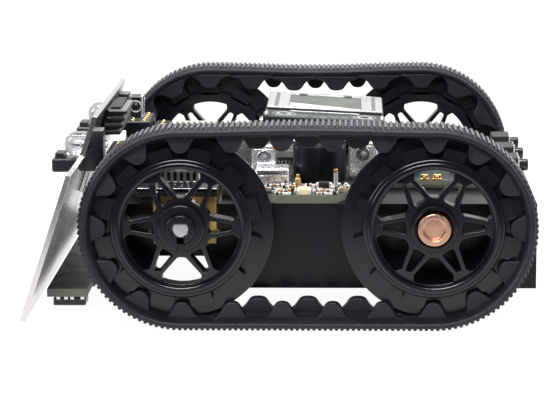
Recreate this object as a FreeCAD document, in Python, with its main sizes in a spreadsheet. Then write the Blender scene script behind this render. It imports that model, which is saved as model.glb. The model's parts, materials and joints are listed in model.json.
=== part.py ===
import FreeCAD, Part
import Sketcher
import math
import os

# Small tracked robot chassis: +X is forward (the scoop blade), +Y is left, +Z is up.
# The origin is the centre of the footprint on the ground. All lengths are in millimetres.

V = FreeCAD.Vector
doc = FreeCAD.newDocument("TrackedChassis")
sheet = doc.addObject("Spreadsheet::Sheet", "Dims")

DIMS = [
    ("mid_x", -5.2), ("half_base", 23.75), ("axle_z", 19.4),
    ("track_out", 19.4), ("track_in", 16.9), ("groove_rad", 17.75),
    ("track_inner_y", 40.0), ("track_outer_y", 49.0), ("lobe_tip", 14.2), ("pitch_rad", 18.14),
    ("groove_lo", 43.55), ("groove_hi", 45.05), ("lobe_far_lo", 40.6), ("lobe_far_hi", 43.7),
    ("lobe_near_lo", 44.9), ("lobe_near_hi", 46.8),
    ("disc_rad", 17.4), ("disc_lo", 43.85), ("disc_hi", 44.75), ("tooth_rad", 15.1),
    ("rim_rad", 13.4), ("rim_in", 11.25), ("rim_lo", 41.9), ("rim_hi", 47.3), ("rim_chamfer", 0.55),
    ("hub_rad", 4.5), ("hub_lo", 37.0), ("hub_hi", 46.9), ("boss_rad", 2.75), ("boss_hi", 48.3), ("neck_rad", 3.4), ("slit", 1.2),
    ("web_lo", 42.5), ("web_hi", 45.7), ("window_in", 5.6), ("window_out", 10.9),
    ("shaft_rad", 1.5), ("shaft_flat", 1.0), ("shaft_tip", 47.6),
    ("body_y", 35.5), ("body_rear", 43.8), ("body_low", 5.4), ("body_top", 22.0), ("body_step", 19.3),
    ("nose_x", 36.0), ("nose_low", 11.7), ("bay_rear", 41.9), ("bay_front", 11.5), ("bay_y", 30.6),
    ("cover_thick", 1.1), ("cell_rad", 7.2), ("cell_len", 50.0),
    ("gear_w", 12.0), ("gear_t", 10.0), ("gear_len", 9.0), ("gear_face", 36.6), ("motor_len", 15.0),
    ("board_low", 22.1), ("board_thick", 1.6), ("hole_rad", 1.1),
    ("blade_len", 37.76), ("blade_thick", 1.0), ("blade_tip", 54.2), ("blade_foot", 1.7),
    ("blade_half", 49.0), ("blade_neck", 27.7), ("blade_shoulder", 29.5), ("blade_tilt", 18.53),
    ("lcd_top", 36.4), ("lcd_tilt", 3.1), ("deck_z", 30.5), ("lamp_z", 31.1), ("lamp_y", 20.0),
]
VALUES = {}
for row, (name, value) in enumerate(DIMS, start=1):
    sheet.set("A%d" % row, name)
    sheet.set("B%d" % row, "%.6g" % value)
    sheet.setAlias("B%d" % row, name)
    VALUES[name] = float(value)
doc.recompute()


class Dim:
    """A length with its value and the spreadsheet expression that drives it."""

    def __init__(self, value, text):
        self.v, self.x = value, text

    def __add__(self, o):
        o = dim(o)
        return Dim(self.v + o.v, "(%s + %s)" % (self.x, o.x))

    __radd__ = __add__

    def __sub__(self, o):
        o = dim(o)
        return Dim(self.v - o.v, "(%s - %s)" % (self.x, o.x))

    def __rsub__(self, o):
        return dim(o) - self

    def __mul__(self, o):
        o = dim(o)
        return Dim(self.v * o.v, "(%s * %s)" % (self.x, o.x))

    __rmul__ = __mul__

    def __neg__(self):
        return Dim(-self.v, "(0 - %s)" % self.x)


def dim(o):
    return o if isinstance(o, Dim) else Dim(float(o), "(%.6f)" % float(o))


def S(name):
    return Dim(VALUES[name], "Dims." + name)


XM, AZ, BT = S("mid_x"), S("axle_z"), S("board_low") + S("board_thick")
XD, XI = XM + S("half_base"), XM - S("half_base")
parts = {}


def bind(obj, prop, value):
    if isinstance(value, Dim) and "Dims." in value.x:
        obj.setExpression(prop, value.x)


def place(obj, x, y, z, rot=None):
    x, y, z = dim(x), dim(y), dim(z)
    obj.Placement = FreeCAD.Placement(V(x.v, y.v, z.v), rot or FreeCAD.Rotation())
    for axis, value in zip("xyz", (x, y, z)):
        bind(obj, "Placement.Base." + axis, value)


count = [0]


def tool(kind, label=None):
    count[0] += 1
    obj = doc.addObject(kind, label or "tool_%03d" % count[0])
    if label:
        obj.Label = label
    return obj


def box(x0, x1, y0, y1, z0, z1, label=None, rot=None):
    o = tool("Part::Box", label)
    for prop, lo, hi in (("Length", x0, x1), ("Width", y0, y1), ("Height", z0, z1)):
        size = dim(hi) - dim(lo)
        setattr(o, prop, size.v)
        bind(o, prop, size)
    place(o, x0, y0, z0, rot)
    return o


AXIS = {"z": FreeCAD.Rotation(), "y": FreeCAD.Rotation(V(1, 0, 0), -90), "x": FreeCAD.Rotation(V(0, 1, 0), 90)}


def cyl(axis, x, y, z, rad, length, label=None, kind="Part::Cylinder", rad2=None):
    """A cylinder (or a cone) that starts at x, y, z and runs along +axis."""
    o = tool("Part::Cone" if rad2 is not None else kind, label)
    rad, length = dim(rad), dim(length)
    if rad2 is None:
        o.Radius = rad.v
        bind(o, "Radius", rad)
    else:
        o.Radius1, o.Radius2 = rad.v, dim(rad2).v
        bind(o, "Radius1", rad)
        bind(o, "Radius2", dim(rad2))
    o.Height = length.v
    bind(o, "Height", length)
    place(o, x, y, z, AXIS[axis])
    return o


def fuse(items, label=None):
    if len(items) == 1:
        return items[0]
    o = tool("Part::MultiFuse", label)
    o.Shapes = items
    return o


def cut(base, tools, label=None):
    o = tool("Part::Cut", label)
    o.Base = base
    o.Tool = tools[0] if len(tools) == 1 else fuse(tools)
    return o


def mirror(src, label=None):
    o = tool("Part::Mirroring", label)
    o.Source = src
    o.Normal = (0, 1, 0)
    return o


def group(items, label):
    o = tool("Part::Compound", label)
    o.Links = items
    return o


def both(items, label):
    """The pieces on the left and their mirror images on the right, as one node of loose solids."""
    return group(items + [mirror(i) for i in items], label)


def keep(label, obj):
    obj.Label = label
    parts[label] = obj
    return obj


def pair(stem, obj):
    """A handed piece: the left one, and its mirror image on the right."""
    keep(stem + "_left", obj)
    keep(stem + "_right", mirror(obj, stem + "_right"))


# --- sketches -----------------------------------------------------------------------------------
def new_body(label):
    body = doc.addObject("PartDesign::Body", label)
    body.Label = label
    return body


def new_sketch(body, name):
    sk = body.newObject("Sketcher::SketchObject", name)
    plane = [f for f in body.Origin.OriginFeatures if f.Role == "XY_Plane"][0]
    sk.AttachmentSupport = [(plane, "")]
    sk.MapMode = "FlatFace"
    return sk


def corner(sk, geo, pos, x, y):
    for kind, value in (("DistanceX", dim(x)), ("DistanceY", dim(y))):
        if abs(value.v) < 1e-9:
            sk.addConstraint(Sketcher.Constraint("PointOnObject", geo, pos, -2 if kind == "DistanceX" else -1))
            continue
        n = sk.addConstraint(Sketcher.Constraint(kind, -1, 1, geo, pos, value.v))
        if "Dims." in value.x:
            sk.setExpression("Constraints[%d]" % n, value.x)




def polygon(sk, pts):
    first = sk.GeometryCount
    n = len(pts)
    vs = [V(dim(x).v, dim(y).v, 0) for x, y in pts]
    for i in range(n):
        sk.addGeometry(Part.LineSegment(vs[i], vs[(i + 1) % n]), False)
    for i in range(n):
        sk.addConstraint(Sketcher.Constraint("Coincident", first + i, 2, first + (i + 1) % n, 1))
    for i, (x, y) in enumerate(pts):
        corner(sk, first + i, 1, x, y)


def circle(sk, x, y, rad):
    g = sk.addGeometry(Part.Circle(V(dim(x).v, dim(y).v, 0), V(0, 0, 1), dim(rad).v), False)
    corner(sk, g, 3, x, y)
    n = sk.addConstraint(Sketcher.Constraint("Radius", g, dim(rad).v))
    if "Dims." in dim(rad).x:
        sk.setExpression("Constraints[%d]" % n, dim(rad).x)


def pad(body, sk, length, name):
    p = body.newObject("PartDesign::Pad", name)
    p.Profile = sk
    p.Length = dim(length).v
    bind(p, "Length", dim(length))
    return p


# --- chassis moulding ---------------------------------------------------------------------------
BY = S("body_y")
shell_blocks = fuse([
    box(XM - S("body_rear"), XM + S("body_step"), -BY, BY, S("body_low"), S("body_top")),
    box(XM + S("body_step") - 1, XM + S("nose_x"), -BY, BY, S("nose_low"), S("body_top")),
    box(XM + 29.7, XM + S("nose_x"), 31.5, BY, 6.6, S("nose_low") + 1),
    box(XM + 29.7, XM + S("nose_x"), -BY, -31.5, 6.6, S("nose_low") + 1),
])
bay = box(XM - S("bay_rear"), XM + S("bay_front"), -S("bay_y"), S("bay_y"), S("body_low") - 1, S("body_top") - 0.8)
motor_slot = box(XD - 6.25, XD + 6.25, -BY - 1, BY + 1, AZ - 5.2, S("body_top") + 1)
idler_holes = [cyl("y", XI, -BY - 1, AZ, 1.55, 2 * BY + 2)]
nut_pockets = [box(XI - 2.9, XI + 2.9, 30.6 - 1, 33.2, AZ - 2.9, AZ + 1.9)]
nut_pockets.append(mirror(nut_pockets[0]))
light_slot = [box(XM + 31.2, XM + 34.4, -24, 24, S("nose_low") - 1, S("body_top") + 1)]
roof_holes = [cyl("z", XM + dx, y, S("body_top") - 2, S("hole_rad"), 4) for dx in (-20.0, -36.0) for y in (15.0, -15.0)]
keep("chassis_shell", cut(shell_blocks, [bay, motor_slot] + idler_holes + nut_pockets + light_slot + roof_holes))

keep("battery_cover", fuse([
    box(XM - S("bay_rear") + 0.3, XM + S("bay_front") - 0.3, -S("bay_y") + 0.3, S("bay_y") - 0.3, S("body_low"), S("body_low") + S("cover_thick")),
]))
CZ = S("body_low") + S("cover_thick") + 0.15 + S("cell_rad")
cells = []
for i in (-1.5, -0.5, 0.5, 1.5):
    y = i * 14.9
    nose = 1 if i in (-1.5, 0.5) else -1
    c = cyl("x", XM - S("bay_rear") + 1.75, y, CZ, S("cell_rad"), S("cell_len") - 1.2)
    t = cyl("x", XM - S("bay_rear") + (1.75 + 48.8 - 0.1 if nose > 0 else 1.75 - 1.1), y, CZ, 2.7, 1.2)
    cells.append(fuse([c, t]))
keep("battery_cells", group(cells, "battery_cells"))
plates = []
for y in (-22.35, -7.45, 7.45, 22.35):
    plates.append(box(XM + S("bay_front") - 0.5, XM + S("bay_front") - 0.1, y - 5.5, y + 5.5, CZ - 5, CZ + 5))
    plates.append(box(XM - S("bay_rear") + 0.1, XM - S("bay_rear") + 0.5, y - 5.5, y + 5.5, CZ - 5, CZ + 5))
coils = []
for i in (-1.5, -0.5, 0.5, 1.5):
    y = i * 14.9
    if i in (-1.5, 0.5):
        x, run = XM - S("bay_rear") + 0.5, 1.15
    else:
        x, run = XM - S("bay_rear") + 50.75, 2.15
    coils.append(cut(cyl("x", x, y, CZ, 3.2, run), [cyl("x", x - 1, y, CZ, 2.5, run + 2)]))
keep("battery_contacts", group(plates + coils, "battery_contacts"))

# --- gearmotors: brass plates on pillars, the final gear between them, then the can and its end cap ---
GF = S("gear_face")
HW, HT = S("gear_w") * 0.5, S("gear_t") * 0.5
hole = cyl("y", XD, GF - 12, AZ, 1.55, 14)
plates = []
for lo, hi in ((GF - 0.8, GF), (GF - 4.9, GF - 4.1), (GF - 9.0, GF - 8.2)):
    plates.append(box(XD - HW, XD + HW, lo, hi, AZ - HT, AZ + HT))
posts = [cyl("y", XD + sx * 4.9, GF - 9.0, AZ + sz * 3.9, 0.75, 9.0) for sx, sz in ((1, 1), (-1, 1), (1, -1), (-1, -1))]
pair("gearbox", cut(fuse(plates + posts), [hole]))
pair("output_shaft", cut(cyl("y", XD, GF - 8.1, AZ, S("shaft_rad"), S("shaft_tip") - GF + 8.1),
     [box(XD - 2, XD + 2, GF + 0.3, S("shaft_tip") + 1, AZ + S("shaft_flat"), AZ + 3)]))
pair("output_gear", cut(cyl("y", XD, GF - 3.4, AZ, 4.4, 1.8), [cyl("y", XD, GF - 4, AZ, S("shaft_rad"), 3)]))
can = box(XD - HW, XD + HW, GF - 9.0 - S("motor_len"), GF - 9.05, AZ - HT, AZ + HT)
canr = cyl("y", XD, GF - 9.0 - S("motor_len"), AZ, 5.98, S("motor_len") - 0.05)
common = tool("Part::Common")
common.Base, common.Tool = can, canr
pair("motor_can", common)
pair("motor_end_cap", fuse([cyl("y", XD, GF - 9.0 - S("motor_len") - 1.1, AZ, 4.6, 1.05), cyl("y", XD, GF - 9.0 - S("motor_len") - 2.4, AZ, 0.5, 1.4)]))
keep("motor_clips", both([fuse([box(XM + 17.4, XM + 33.0, 28.0, 36.95, AZ + HT + 0.05, AZ + HT + 0.8), box(XM + 17.4, XM + 33.0, 36.65, 36.95, AZ + 4.2, AZ + HT + 0.2)])], "motor_clips"))
keep("motor_connectors", both([box(XM + 21.2, XM + 29.4, 28.2, 31.0, AZ + HT + 0.82, AZ + HT + 3.5)], "motor_connectors"))

# --- drive and idler sprockets ------------------------------------------------------------------
LABELLED_WINDOWS = 6


def tooth_ring(cx, lo, hi, phase, bulk):
    """Twelve teeth: the ring sector between the rim and the tooth radius."""
    pts = []
    r0, r1 = VALUES["rim_rad"] - 0.5, VALUES["tooth_rad"]
    solids = []
    for i in range(12):
        a = math.radians(phase + 30 * i)
        poly = []
        for r, half in ((r0, 7.5), (r1 - 0.5, 7.5), (r1, 6.2), (r1, -6.2), (r1 - 0.5, -7.5), (r0, -7.5)):
            b = a + math.radians(half)
            poly.append(V(cx + r * math.sin(b), lo, VALUES["axle_z"] + r * math.cos(b)))
        poly.append(poly[0])
        solids.append(Part.Face(Part.makePolygon(poly)).extrude(V(0, hi - lo, 0)))
    return solids


def ring(cx, r, lo, hi):
    return Part.makeCylinder(r, hi - lo, V(cx, lo, VALUES["axle_z"]), V(0, 1, 0))


def sprocket(label, cx, drive):
    """One moulded wheel: a centre disc, two staggered rows of teeth, six windowed arms and a hub."""
    W = VALUES
    edge = W["rim_chamfer"]
    solid = ring(cx, W["rim_rad"], W["rim_lo"], W["rim_hi"] - edge).fuse(
        Part.makeCone(W["rim_rad"], W["rim_rad"] - edge, edge, V(cx, W["rim_hi"] - edge, W["axle_z"]), V(0, 1, 0)))
    solid = solid.fuse([ring(cx, W["disc_rad"], W["disc_lo"], W["disc_hi"])]
                       + tooth_ring(cx, W["disc_hi"] - 0.05, 46.7, 15, solid) + tooth_ring(cx, W["rim_lo"], W["disc_lo"] + 0.05, 0, solid))
    solid = solid.cut(ring(cx, W["rim_in"], W["web_hi"], W["rim_hi"] + 1))
    solid = solid.cut(ring(cx, W["rim_in"], W["rim_lo"] - 1, W["web_lo"]))
    wins = []
    for i in range(LABELLED_WINDOWS):
        mid = math.radians(60 * i + 0.0)
        # wide window between two arms, its apex towards the hub
        poly = []
        for r, half in ((W["window_in"], 6), (W["window_out"] - 0.9, 22.5), (W["window_out"] - 0.25, 22), (W["window_out"], 19), (W["window_out"] + 0.1, 9), (W["window_out"] + 0.1, -9), (W["window_out"], -19), (W["window_out"] - 0.25, -22), (W["window_out"] - 0.9, -22.5), (W["window_in"], -6)):
            b = mid + math.radians(half)
            poly.append(V(cx + r * math.sin(b), W["web_lo"] - 1, W["axle_z"] + r * math.cos(b)))
        poly.append(poly[0])
        wins.append(Part.Face(Part.makePolygon(poly)).extrude(V(0, 6, 0)))
        # slim slot in the arm itself
        mid = math.radians(60 * i + 30.0)
        poly = []
        for r, half in ((5.3, 1.35), (9.6, 0.55), (9.6, -0.55), (5.3, -1.35)):
            poly.append(V(cx + r * math.sin(mid) + half * math.cos(mid), W["web_lo"] - 1, W["axle_z"] + r * math.cos(mid) - half * math.sin(mid)))
        poly.append(poly[0])
        wins.append(Part.Face(Part.makePolygon(poly)).extrude(V(0, 6, 0)))
    solid = solid.cut(wins)
    neck = ring(cx, W["neck_rad"], W["hub_lo"], W["web_lo"] + 0.2)
    if drive:
        solid = solid.fuse([neck, ring(cx, W["hub_rad"], W["web_lo"], W["hub_hi"]), ring(cx, W["boss_rad"], W["hub_hi"] - 0.2, W["boss_hi"])])
        bore = ring(cx, W["shaft_rad"], W["hub_lo"] - 1, W["boss_hi"] + 1)
        flat = Part.makeBox(6, 20, 3, V(cx - 3, W["hub_lo"] - 2, W["axle_z"] + W["shaft_flat"]))
        solid = solid.cut(bore.cut(flat))
        # the slit that lets the hub grip the shaft
        solid = solid.cut(Part.makeBox(W["slit"], 8, 4.8, V(cx - W["slit"] / 2, 42.4, W["axle_z"] - 5.9)))
    else:
        solid = solid.fuse([neck, ring(cx, W["hub_rad"] - 0.2, W["web_lo"], W["hub_hi"] + 0.3)])
        solid = solid.cut(ring(cx, 2.56, W["hub_lo"] - 1, W["boss_hi"] + 1))
        solid = solid.cut(ring(cx, 3.5, 45.2, W["boss_hi"]))
    o = doc.addObject("Part::Feature", label)
    o.Label = label
    o.Shape = solid.removeSplitter()
    o.Placement = FreeCAD.Placement()
    return o


pair("drive_sprocket", sprocket("drive_sprocket_left", XD.v, True))
pair("idler_sprocket", sprocket("idler_sprocket_left", XI.v, False))

# shoulder bolts that the idlers turn on, with their washers and nuts
bolt = fuse([cyl("y", XI, 45.75, AZ, 3.1, 2.5), cyl("y", XI, 36.2, AZ, 2.5, 9.6), cyl("y", XI, 31.2, AZ, 1.5, 5.1)])
keep("idler_bolts", both([cut(bolt, [cyl("y", XI, 46.9, AZ, 2.05, 3)])], "idler_bolts"))
keep("idler_washers", both([cut(cyl("y", XI, 35.55, AZ, 3.4, 0.6), [cyl("y", XI, 35, AZ, 1.55, 2)])], "idler_washers"))
keep("idler_nuts", both([cut(box(XI - 2.75, XI + 2.75, 30.8, 33.1, AZ - 2.75, AZ + 1.8), [cyl("y", XI, 30, AZ, 1.5, 4)])], "idler_nuts"))


# --- tracks -------------------------------------------------------------------------------------
def stadium(r, lo, hi):
    W = VALUES
    z = W["axle_z"]
    return Part.makeBox(2 * W["half_base"], hi - lo, 2 * r, V(XI.v, lo, z - r)).fuse([ring(XI.v, r, lo, hi), ring(XD.v, r, lo, hi)]).removeSplitter()


LOBE = ((17.3, 2.9), (16.75, 2.6), (16.2, 2.0), (15.5, 1.75), (15.0, 1.6), (14.6, 1.35), (14.2, 0.75))


def lobe(cx, angle, lo, hi):
    """One drive lobe pointing at the wheel centre cx, at this angle from straight up."""
    a = math.radians(angle)
    ux, uz, tx, tz = math.sin(a), math.cos(a), math.cos(a), -math.sin(a)
    z = VALUES["axle_z"]
    poly = [V(cx + r * ux + h * tx, lo, z + r * uz + h * tz) for r, h in LOBE] + [V(cx + r * ux - h * tx, lo, z + r * uz - h * tz) for r, h in reversed(LOBE)]
    poly.append(poly[0])
    return Part.Face(Part.makePolygon(poly)).extrude(V(0, hi - lo, 0))


def track():
    W = VALUES
    lo, hi = W["track_inner_y"], W["track_outer_y"]
    band = stadium(W["track_out"], lo, hi).cut(stadium(W["track_in"], lo - 1, hi + 1))
    band = band.cut(stadium(W["groove_rad"], W["groove_lo"], W["groove_hi"]))
    lobes = []
    for row_lo, row_hi, phase in ((W["lobe_near_lo"], W["lobe_near_hi"], 0.0), (W["lobe_far_lo"], W["lobe_far_hi"], 0.5)):
        for i in range(22):
            s = (i + phase) * 9.5
            if s <= 57.0 + 1e-6:
                lobes.append(lobe(XD.v, s / 9.5 * 30.0, row_lo, row_hi))
            elif s < 57.0 + 47.5 - 1e-6:
                lobes.append(lobe(XD.v - (s - 57.0), 180.0, row_lo, row_hi))
            elif s <= 57.0 + 47.5 + 57.0 + 1e-6:
                lobes.append(lobe(XI.v, 180.0 + (s - 104.5) / 9.5 * 30.0, row_lo, row_hi))
            else:
                lobes.append(lobe(XI.v + (s - 161.5), 0.0, row_lo, row_hi))
    return band.fuse(lobes).removeSplitter()


t = doc.addObject("Part::Feature", "track_left")
t.Shape = track()
t.Placement = FreeCAD.Placement()
pair("track", t)

# --- main board ---------------------------------------------------------------------------------
body = new_body("main_board")
sk = new_sketch(body, "board_outline")
half = [(XM + 43.5, 27.7), (XM + 30.4, 27.7), (XM + 30.4, 11.4), (XM + 17.1, 11.4), (XM + 17.1, 28.4), (XM + 6.0, 36.0),
        (XM - 5.4, 36.0), (XM - 13.0, 20.0), (XM - 42.0, 20.0)]
polygon(sk, half + [(x, -dim(y)) for x, y in reversed(half)])
for dx in (-20.0, -36.0):
    for y in (15.0, -15.0):
        circle(sk, XM + dx, y, S("hole_rad"))
for y in (10.0, -10.0):
    circle(sk, XM + 37.5, y, S("hole_rad"))
    circle(sk, XM - 30.0, y, S("hole_rad"))
pad(body, sk, S("board_thick"), "board_pad")
place(body, 0, 0, S("board_low"))
keep("main_board", body)
screws = []
for dx, dy in ((37.5, 10.0), (37.5, -10.0), (-30.0, 10.0), (-30.0, -10.0)):
    head = cyl("z", XM + dx, dy, BT, 1.9, 1.3)
    screws.append(cut(fuse([head, cyl("z", XM + dx, dy, S("body_top") + 0.05, 1.0, 2.0)]), [cyl("z", XM + dx, dy, BT + 0.6, 0.9, 2.0)]))
keep("board_screws", group(screws, "board_screws"))

# --- display on its header ----------------------------------------------------------------------
tilt = FreeCAD.Rotation(V(0, 1, 0), -VALUES["lcd_tilt"])
LX, LZ = XM - 2.8, S("lcd_top")


def slab(label, x0, x1, y0, y1, z0, z1):
    """A display layer, tilted a little so that the front edge is the higher one."""
    o = box(LX + x0, LX + x1, y0, y1, LZ + z0, LZ + z1, label)
    a = math.radians(-VALUES["lcd_tilt"])
    bx, bz = x0 * math.cos(a) + z0 * math.sin(a), -x0 * math.sin(a) + z0 * math.cos(a)
    place(o, LX + bx, y0, LZ + bz, tilt)
    return o


keep("display_board", cut(slab(None, -11.9, 11.9, -16.0, 18.8, -1.85, -0.55),
     [cyl("z", LX + sx * 8.1, y, LZ - 6, 1.1, 10) for sx in (1, -1) for y in (-13.9, 14.0)]))
keep("display_bezel", cut(slab(None, -11.7, 11.7, -11.8, 8.9, -0.5, 0), [slab(None, -7.4, 7.3, -10.2, 7.9, -1, 1)]))
keep("display_window", slab("display_window", -7.3, 7.2, -10.1, 7.8, -0.5, -0.1))
keep("display_header", group([box(LX - 6.35, LX + 6.35, -15.2, -12.8, BT, BT + 10.1)], "display_header"))

# --- pieces on the main board -------------------------------------------------------------------
keep("buzzer", fuse([cyl("z", XM - 1.9, 19.5, BT, 5.25, 7.6), cyl("z", XM - 1.9, 19.5, BT + 7.5, 4.7, 0.6)]))
keep("usb_connector", cut(box(XM + 4.0, XM + 10.6, 20.6, 26.2, BT, BT + 3.2), [box(XM + 4.6, XM + 10.0, 22.0, 27, BT + 0.6, BT + 2.7)]))
keep("side_sensors", both([fuse([box(XM - 13.4, XM - 7.6, 15.6, 19.0, BT, BT + 7.6)]), box(XM + 6.6, XM + 11.6, 15.6, 19.4, BT, BT + 7.0)], "side_sensors"))
keep("pin_headers", both([box(XM + 34.6, XM + 39.9, 12.6, 25.2, BT, S("deck_z")), box(XM + 31.0, XM + 34.3, 13.0, 25.0, BT, BT + 5.2)], "pin_headers"))
chips = [box(XM + 2.0, XM + 11.0, -9.5, -0.5, BT, BT + 1.0), box(XM - 7.9, XM - 2.3, -26.8, -20, BT, BT + 1.2),
         box(XM - 24, XM - 18.4, -7, -2, BT, BT + 1.0), box(XM + 20, XM + 26, -4, 4, BT, BT + 1.1)]
keep("driver_chips", group(chips, "driver_chips"))
caps, res, gold = [], [], []
for i, (dx, y, w) in enumerate(((7.6, 31.2, 1.6), (4.6, 33.4, 1.6), (-3.6, 33.2, 1.6), (-5.8, 29.6, 2.0), (0.8, 31.0, 1.2), (10.0, 29.2, 1.6), (13.4, 27.0, 1.6), (-10.0, 24.6, 1.6))):
    caps.append(box(XM + dx, XM + dx + w, y, y + 0.85, BT, BT + 0.9))
for i, (dx, y) in enumerate(((2.6, 30.6), (-1.2, 30.2), (5.2, 29.0), (-3.8, 31.2), (8.4, 27.4), (-7.8, 27.0), (11.6, 25.6), (0.4, 28.4))):
    res.append(box(XM + dx, XM + dx + 1.6, y, y + 0.8, BT, BT + 0.5))
gold.append(box(XM - 0.5, XM + 2.2, 33.9, 35.7, BT, BT + 1.7))
gold += [box(XM - 22.7 - 2.54 * i - 0.95, XM - 22.7 - 2.54 * i + 0.95, 18.4, 19.8, BT, BT + 1.1) for i in range(2)]
keep("chip_capacitors", both(caps, "chip_capacitors"))
keep("chip_resistors", both(res, "chip_resistors"))
keep("tab_connectors", group([gold[0], mirror(gold[0])] + gold[1:], "tab_connectors"))
keep("status_lights", both([box(XM + 3.4, XM + 5.0, 34.6, 35.5, BT, BT + 0.8), box(XM - 4.6, XM - 3.0, 34.6, 35.5, BT, BT + 0.8)], "status_lights"))

# --- three user buttons on the rear edge, the power switch and the contrast trimmer ---------------
RX = XM - 42.0
BYS = (18.0 - 4.4, 0.0, -18.0 + 4.4)
keep("button_bodies", group([cut(box(RX + 0.4, RX + 4.2, y - 3.0, y + 3.0, BT, BT + 4.2), [cyl("x", RX - 1, y, BT + 2.1, 1.35, 4.0)]) for y in BYS], "button_bodies"))
for name, y in zip(("button_left", "button_middle", "button_right"), BYS):
    keep(name, fuse([cyl("x", RX - 1.6, y, BT + 2.1, 1.2, 3.4)]))
keep("power_switch_body", cut(box(XM - 28.0, XM - 24.4, -19.6, -11.0, BT, BT + 3.4),
     [box(XM - 27.3, XM - 25.1, -18.4, -12.2, BT + 2.0, BT + 4)]))
keep("power_switch_slider", box(XM - 27.0, XM - 25.4, -18.1, -15.5, BT + 2.1, BT + 5.4))
keep("trimmer_body", cut(box(XM - 22.6, XM - 18.0, 4.4, 9.0, BT, BT + 2.6), [cyl("z", XM - 20.3, 6.7, BT + 1.4, 1.75, 3)]))
keep("trimmer_rotor", cut(cyl("z", XM - 20.3, 6.7, BT + 1.45, 1.62, 1.5), [box(XM - 21.7, XM - 18.9, 6.4, 7.0, BT + 2.4, BT + 4)]))

# --- scoop blade --------------------------------------------------------------------------------
body = new_body("scoop_blade")
sk = new_sketch(body, "blade_outline")
half = [(S("blade_half"), 0.0), (S("blade_half"), S("blade_shoulder")), (S("blade_neck"), S("blade_shoulder")), (S("blade_neck"), S("blade_len"))]
polygon(sk, half + [(-x, y) for x, y in reversed(half)])
for sy in (S("lamp_y"), -S("lamp_y")):
    circle(sk, sy, 30.84, 2.95)
for sy in (10.0, -10.0):
    circle(sk, sy, 23.0, 1.2)
pad(body, sk, S("blade_thick"), "blade_pad")
th = math.radians(VALUES["blade_tilt"])
m = FreeCAD.Matrix(0, -math.sin(th), math.cos(th), 0, 1, 0, 0, 0, 0, math.cos(th), math.sin(th), 0, 0, 0, 0, 1)
place(body, XM + S("blade_tip") - S("blade_thick") * math.cos(th), 0, S("blade_foot"), FreeCAD.Placement(m).Rotation)
keep("scoop_blade", body)


def on_blade(s, n=0.0):
    """X and Z of the point s up the blade and n in front of its rear face."""
    x = XM + S("blade_tip") - S("blade_thick") * math.cos(th) - s * math.sin(th) + n * math.cos(th)
    return x, S("blade_foot") + s * math.cos(th) + n * math.sin(th)


def rod(s, y, n0, n1, rad):
    x, z = on_blade(s, n0)
    o = cyl("x", x, y, z, rad, n1 - n0)
    o.Placement = FreeCAD.Placement(o.Placement.Base, FreeCAD.Rotation(V(0, 1, 0), 90 - VALUES["blade_tilt"]))
    return o


def tilted(s0, s1, y0, y1, n0, n1):
    x, z = on_blade(s0, n0)
    o = tool("Part::Box")
    o.Length, o.Width, o.Height = y1 - y0, s1 - s0, n1 - n0
    place(o, x, y0, z, FreeCAD.Placement(m).Rotation)
    return o


keep("blade_screws", both([rod(23.0, 10.0, 1.02, 2.2, 2.0)], "blade_screws"))
keep("blade_brackets", both([tilted(19.6, 26.4, 6.6, 13.4, -1.0, -0.02), ], "blade_brackets"))


LAMP_X, LAMP_Y, LAMP_Z = XM + 46.3, S("lamp_y"), S("lamp_z")


def led():
    """A round-nosed lamp that points straight ahead through its hole in the blade."""
    dome = tool("Part::Sphere")
    dome.Radius = 2.5
    place(dome, LAMP_X, LAMP_Y, LAMP_Z)
    return fuse([cyl("x", XM + 41.0, LAMP_Y, LAMP_Z, 2.5, 5.3), dome, cyl("x", XM + 41.0, LAMP_Y, LAMP_Z, 2.85, 0.8)])


def meet(a, b):
    o = tool("Part::Common")
    o.Base, o.Tool = a, b
    return o


keep("infrared_leds", both([led()], "infrared_leds"))
holder = meet(box(XM + 43.0, XM + 51.1, 17.5, 22.5, 25.7, 28.5), tilted(15.0, 40.0, 16.0, 24.0, 1.02, 16.0))
keep("led_holders", both([fuse([holder, box(XM + 48.5, XM + 50.5, 18.2, 21.8, 28.4, 29.6)])], "led_holders"))
keep("blade_blocks", both([meet(box(XM + 40.2, XM + 49.0, 23.3, 27.5, 26.8, 35.0), tilted(15.0, 40.0, 22.0, 29.0, -14.0, -0.05))], "blade_blocks"))
keep("edge_connector", tilted(31.6, 36.9, -8.0, 8.0, -5.6, -0.05))
keep("front_receivers", box(XM + 36.7, XM + 39.7, -22.2, -18.2, S("deck_z"), S("deck_z") + 4.7))

# --- line sensor array low behind the blade -------------------------------------------------------
array = fuse([box(XM + 43.1, XM + 50.9, -35.0, 35.0, 3.4, 5.0), box(XM + 38.4, XM + 43.2, -24.6, 24.6, 3.4, 5.0)])
keep("sensor_array_board", cut(array, [cyl("z", XM + 41.4, sy * 22.0, 2, 1.05, 5) for sy in (1, -1)]))
keep("line_sensors", group([box(XM + 43.4, XM + 49.8, y - 2.4, y + 2.4, 1.55, 3.38) for y in (-32.2, -16.0, 0.0, 16.0, 32.2)], "line_sensors"))
keep("array_headers", both([box(XM + 39.6, XM + 43.2, 12.4, 19.4, 5.02, 22.05 - 0.0)], "array_headers"))

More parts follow.
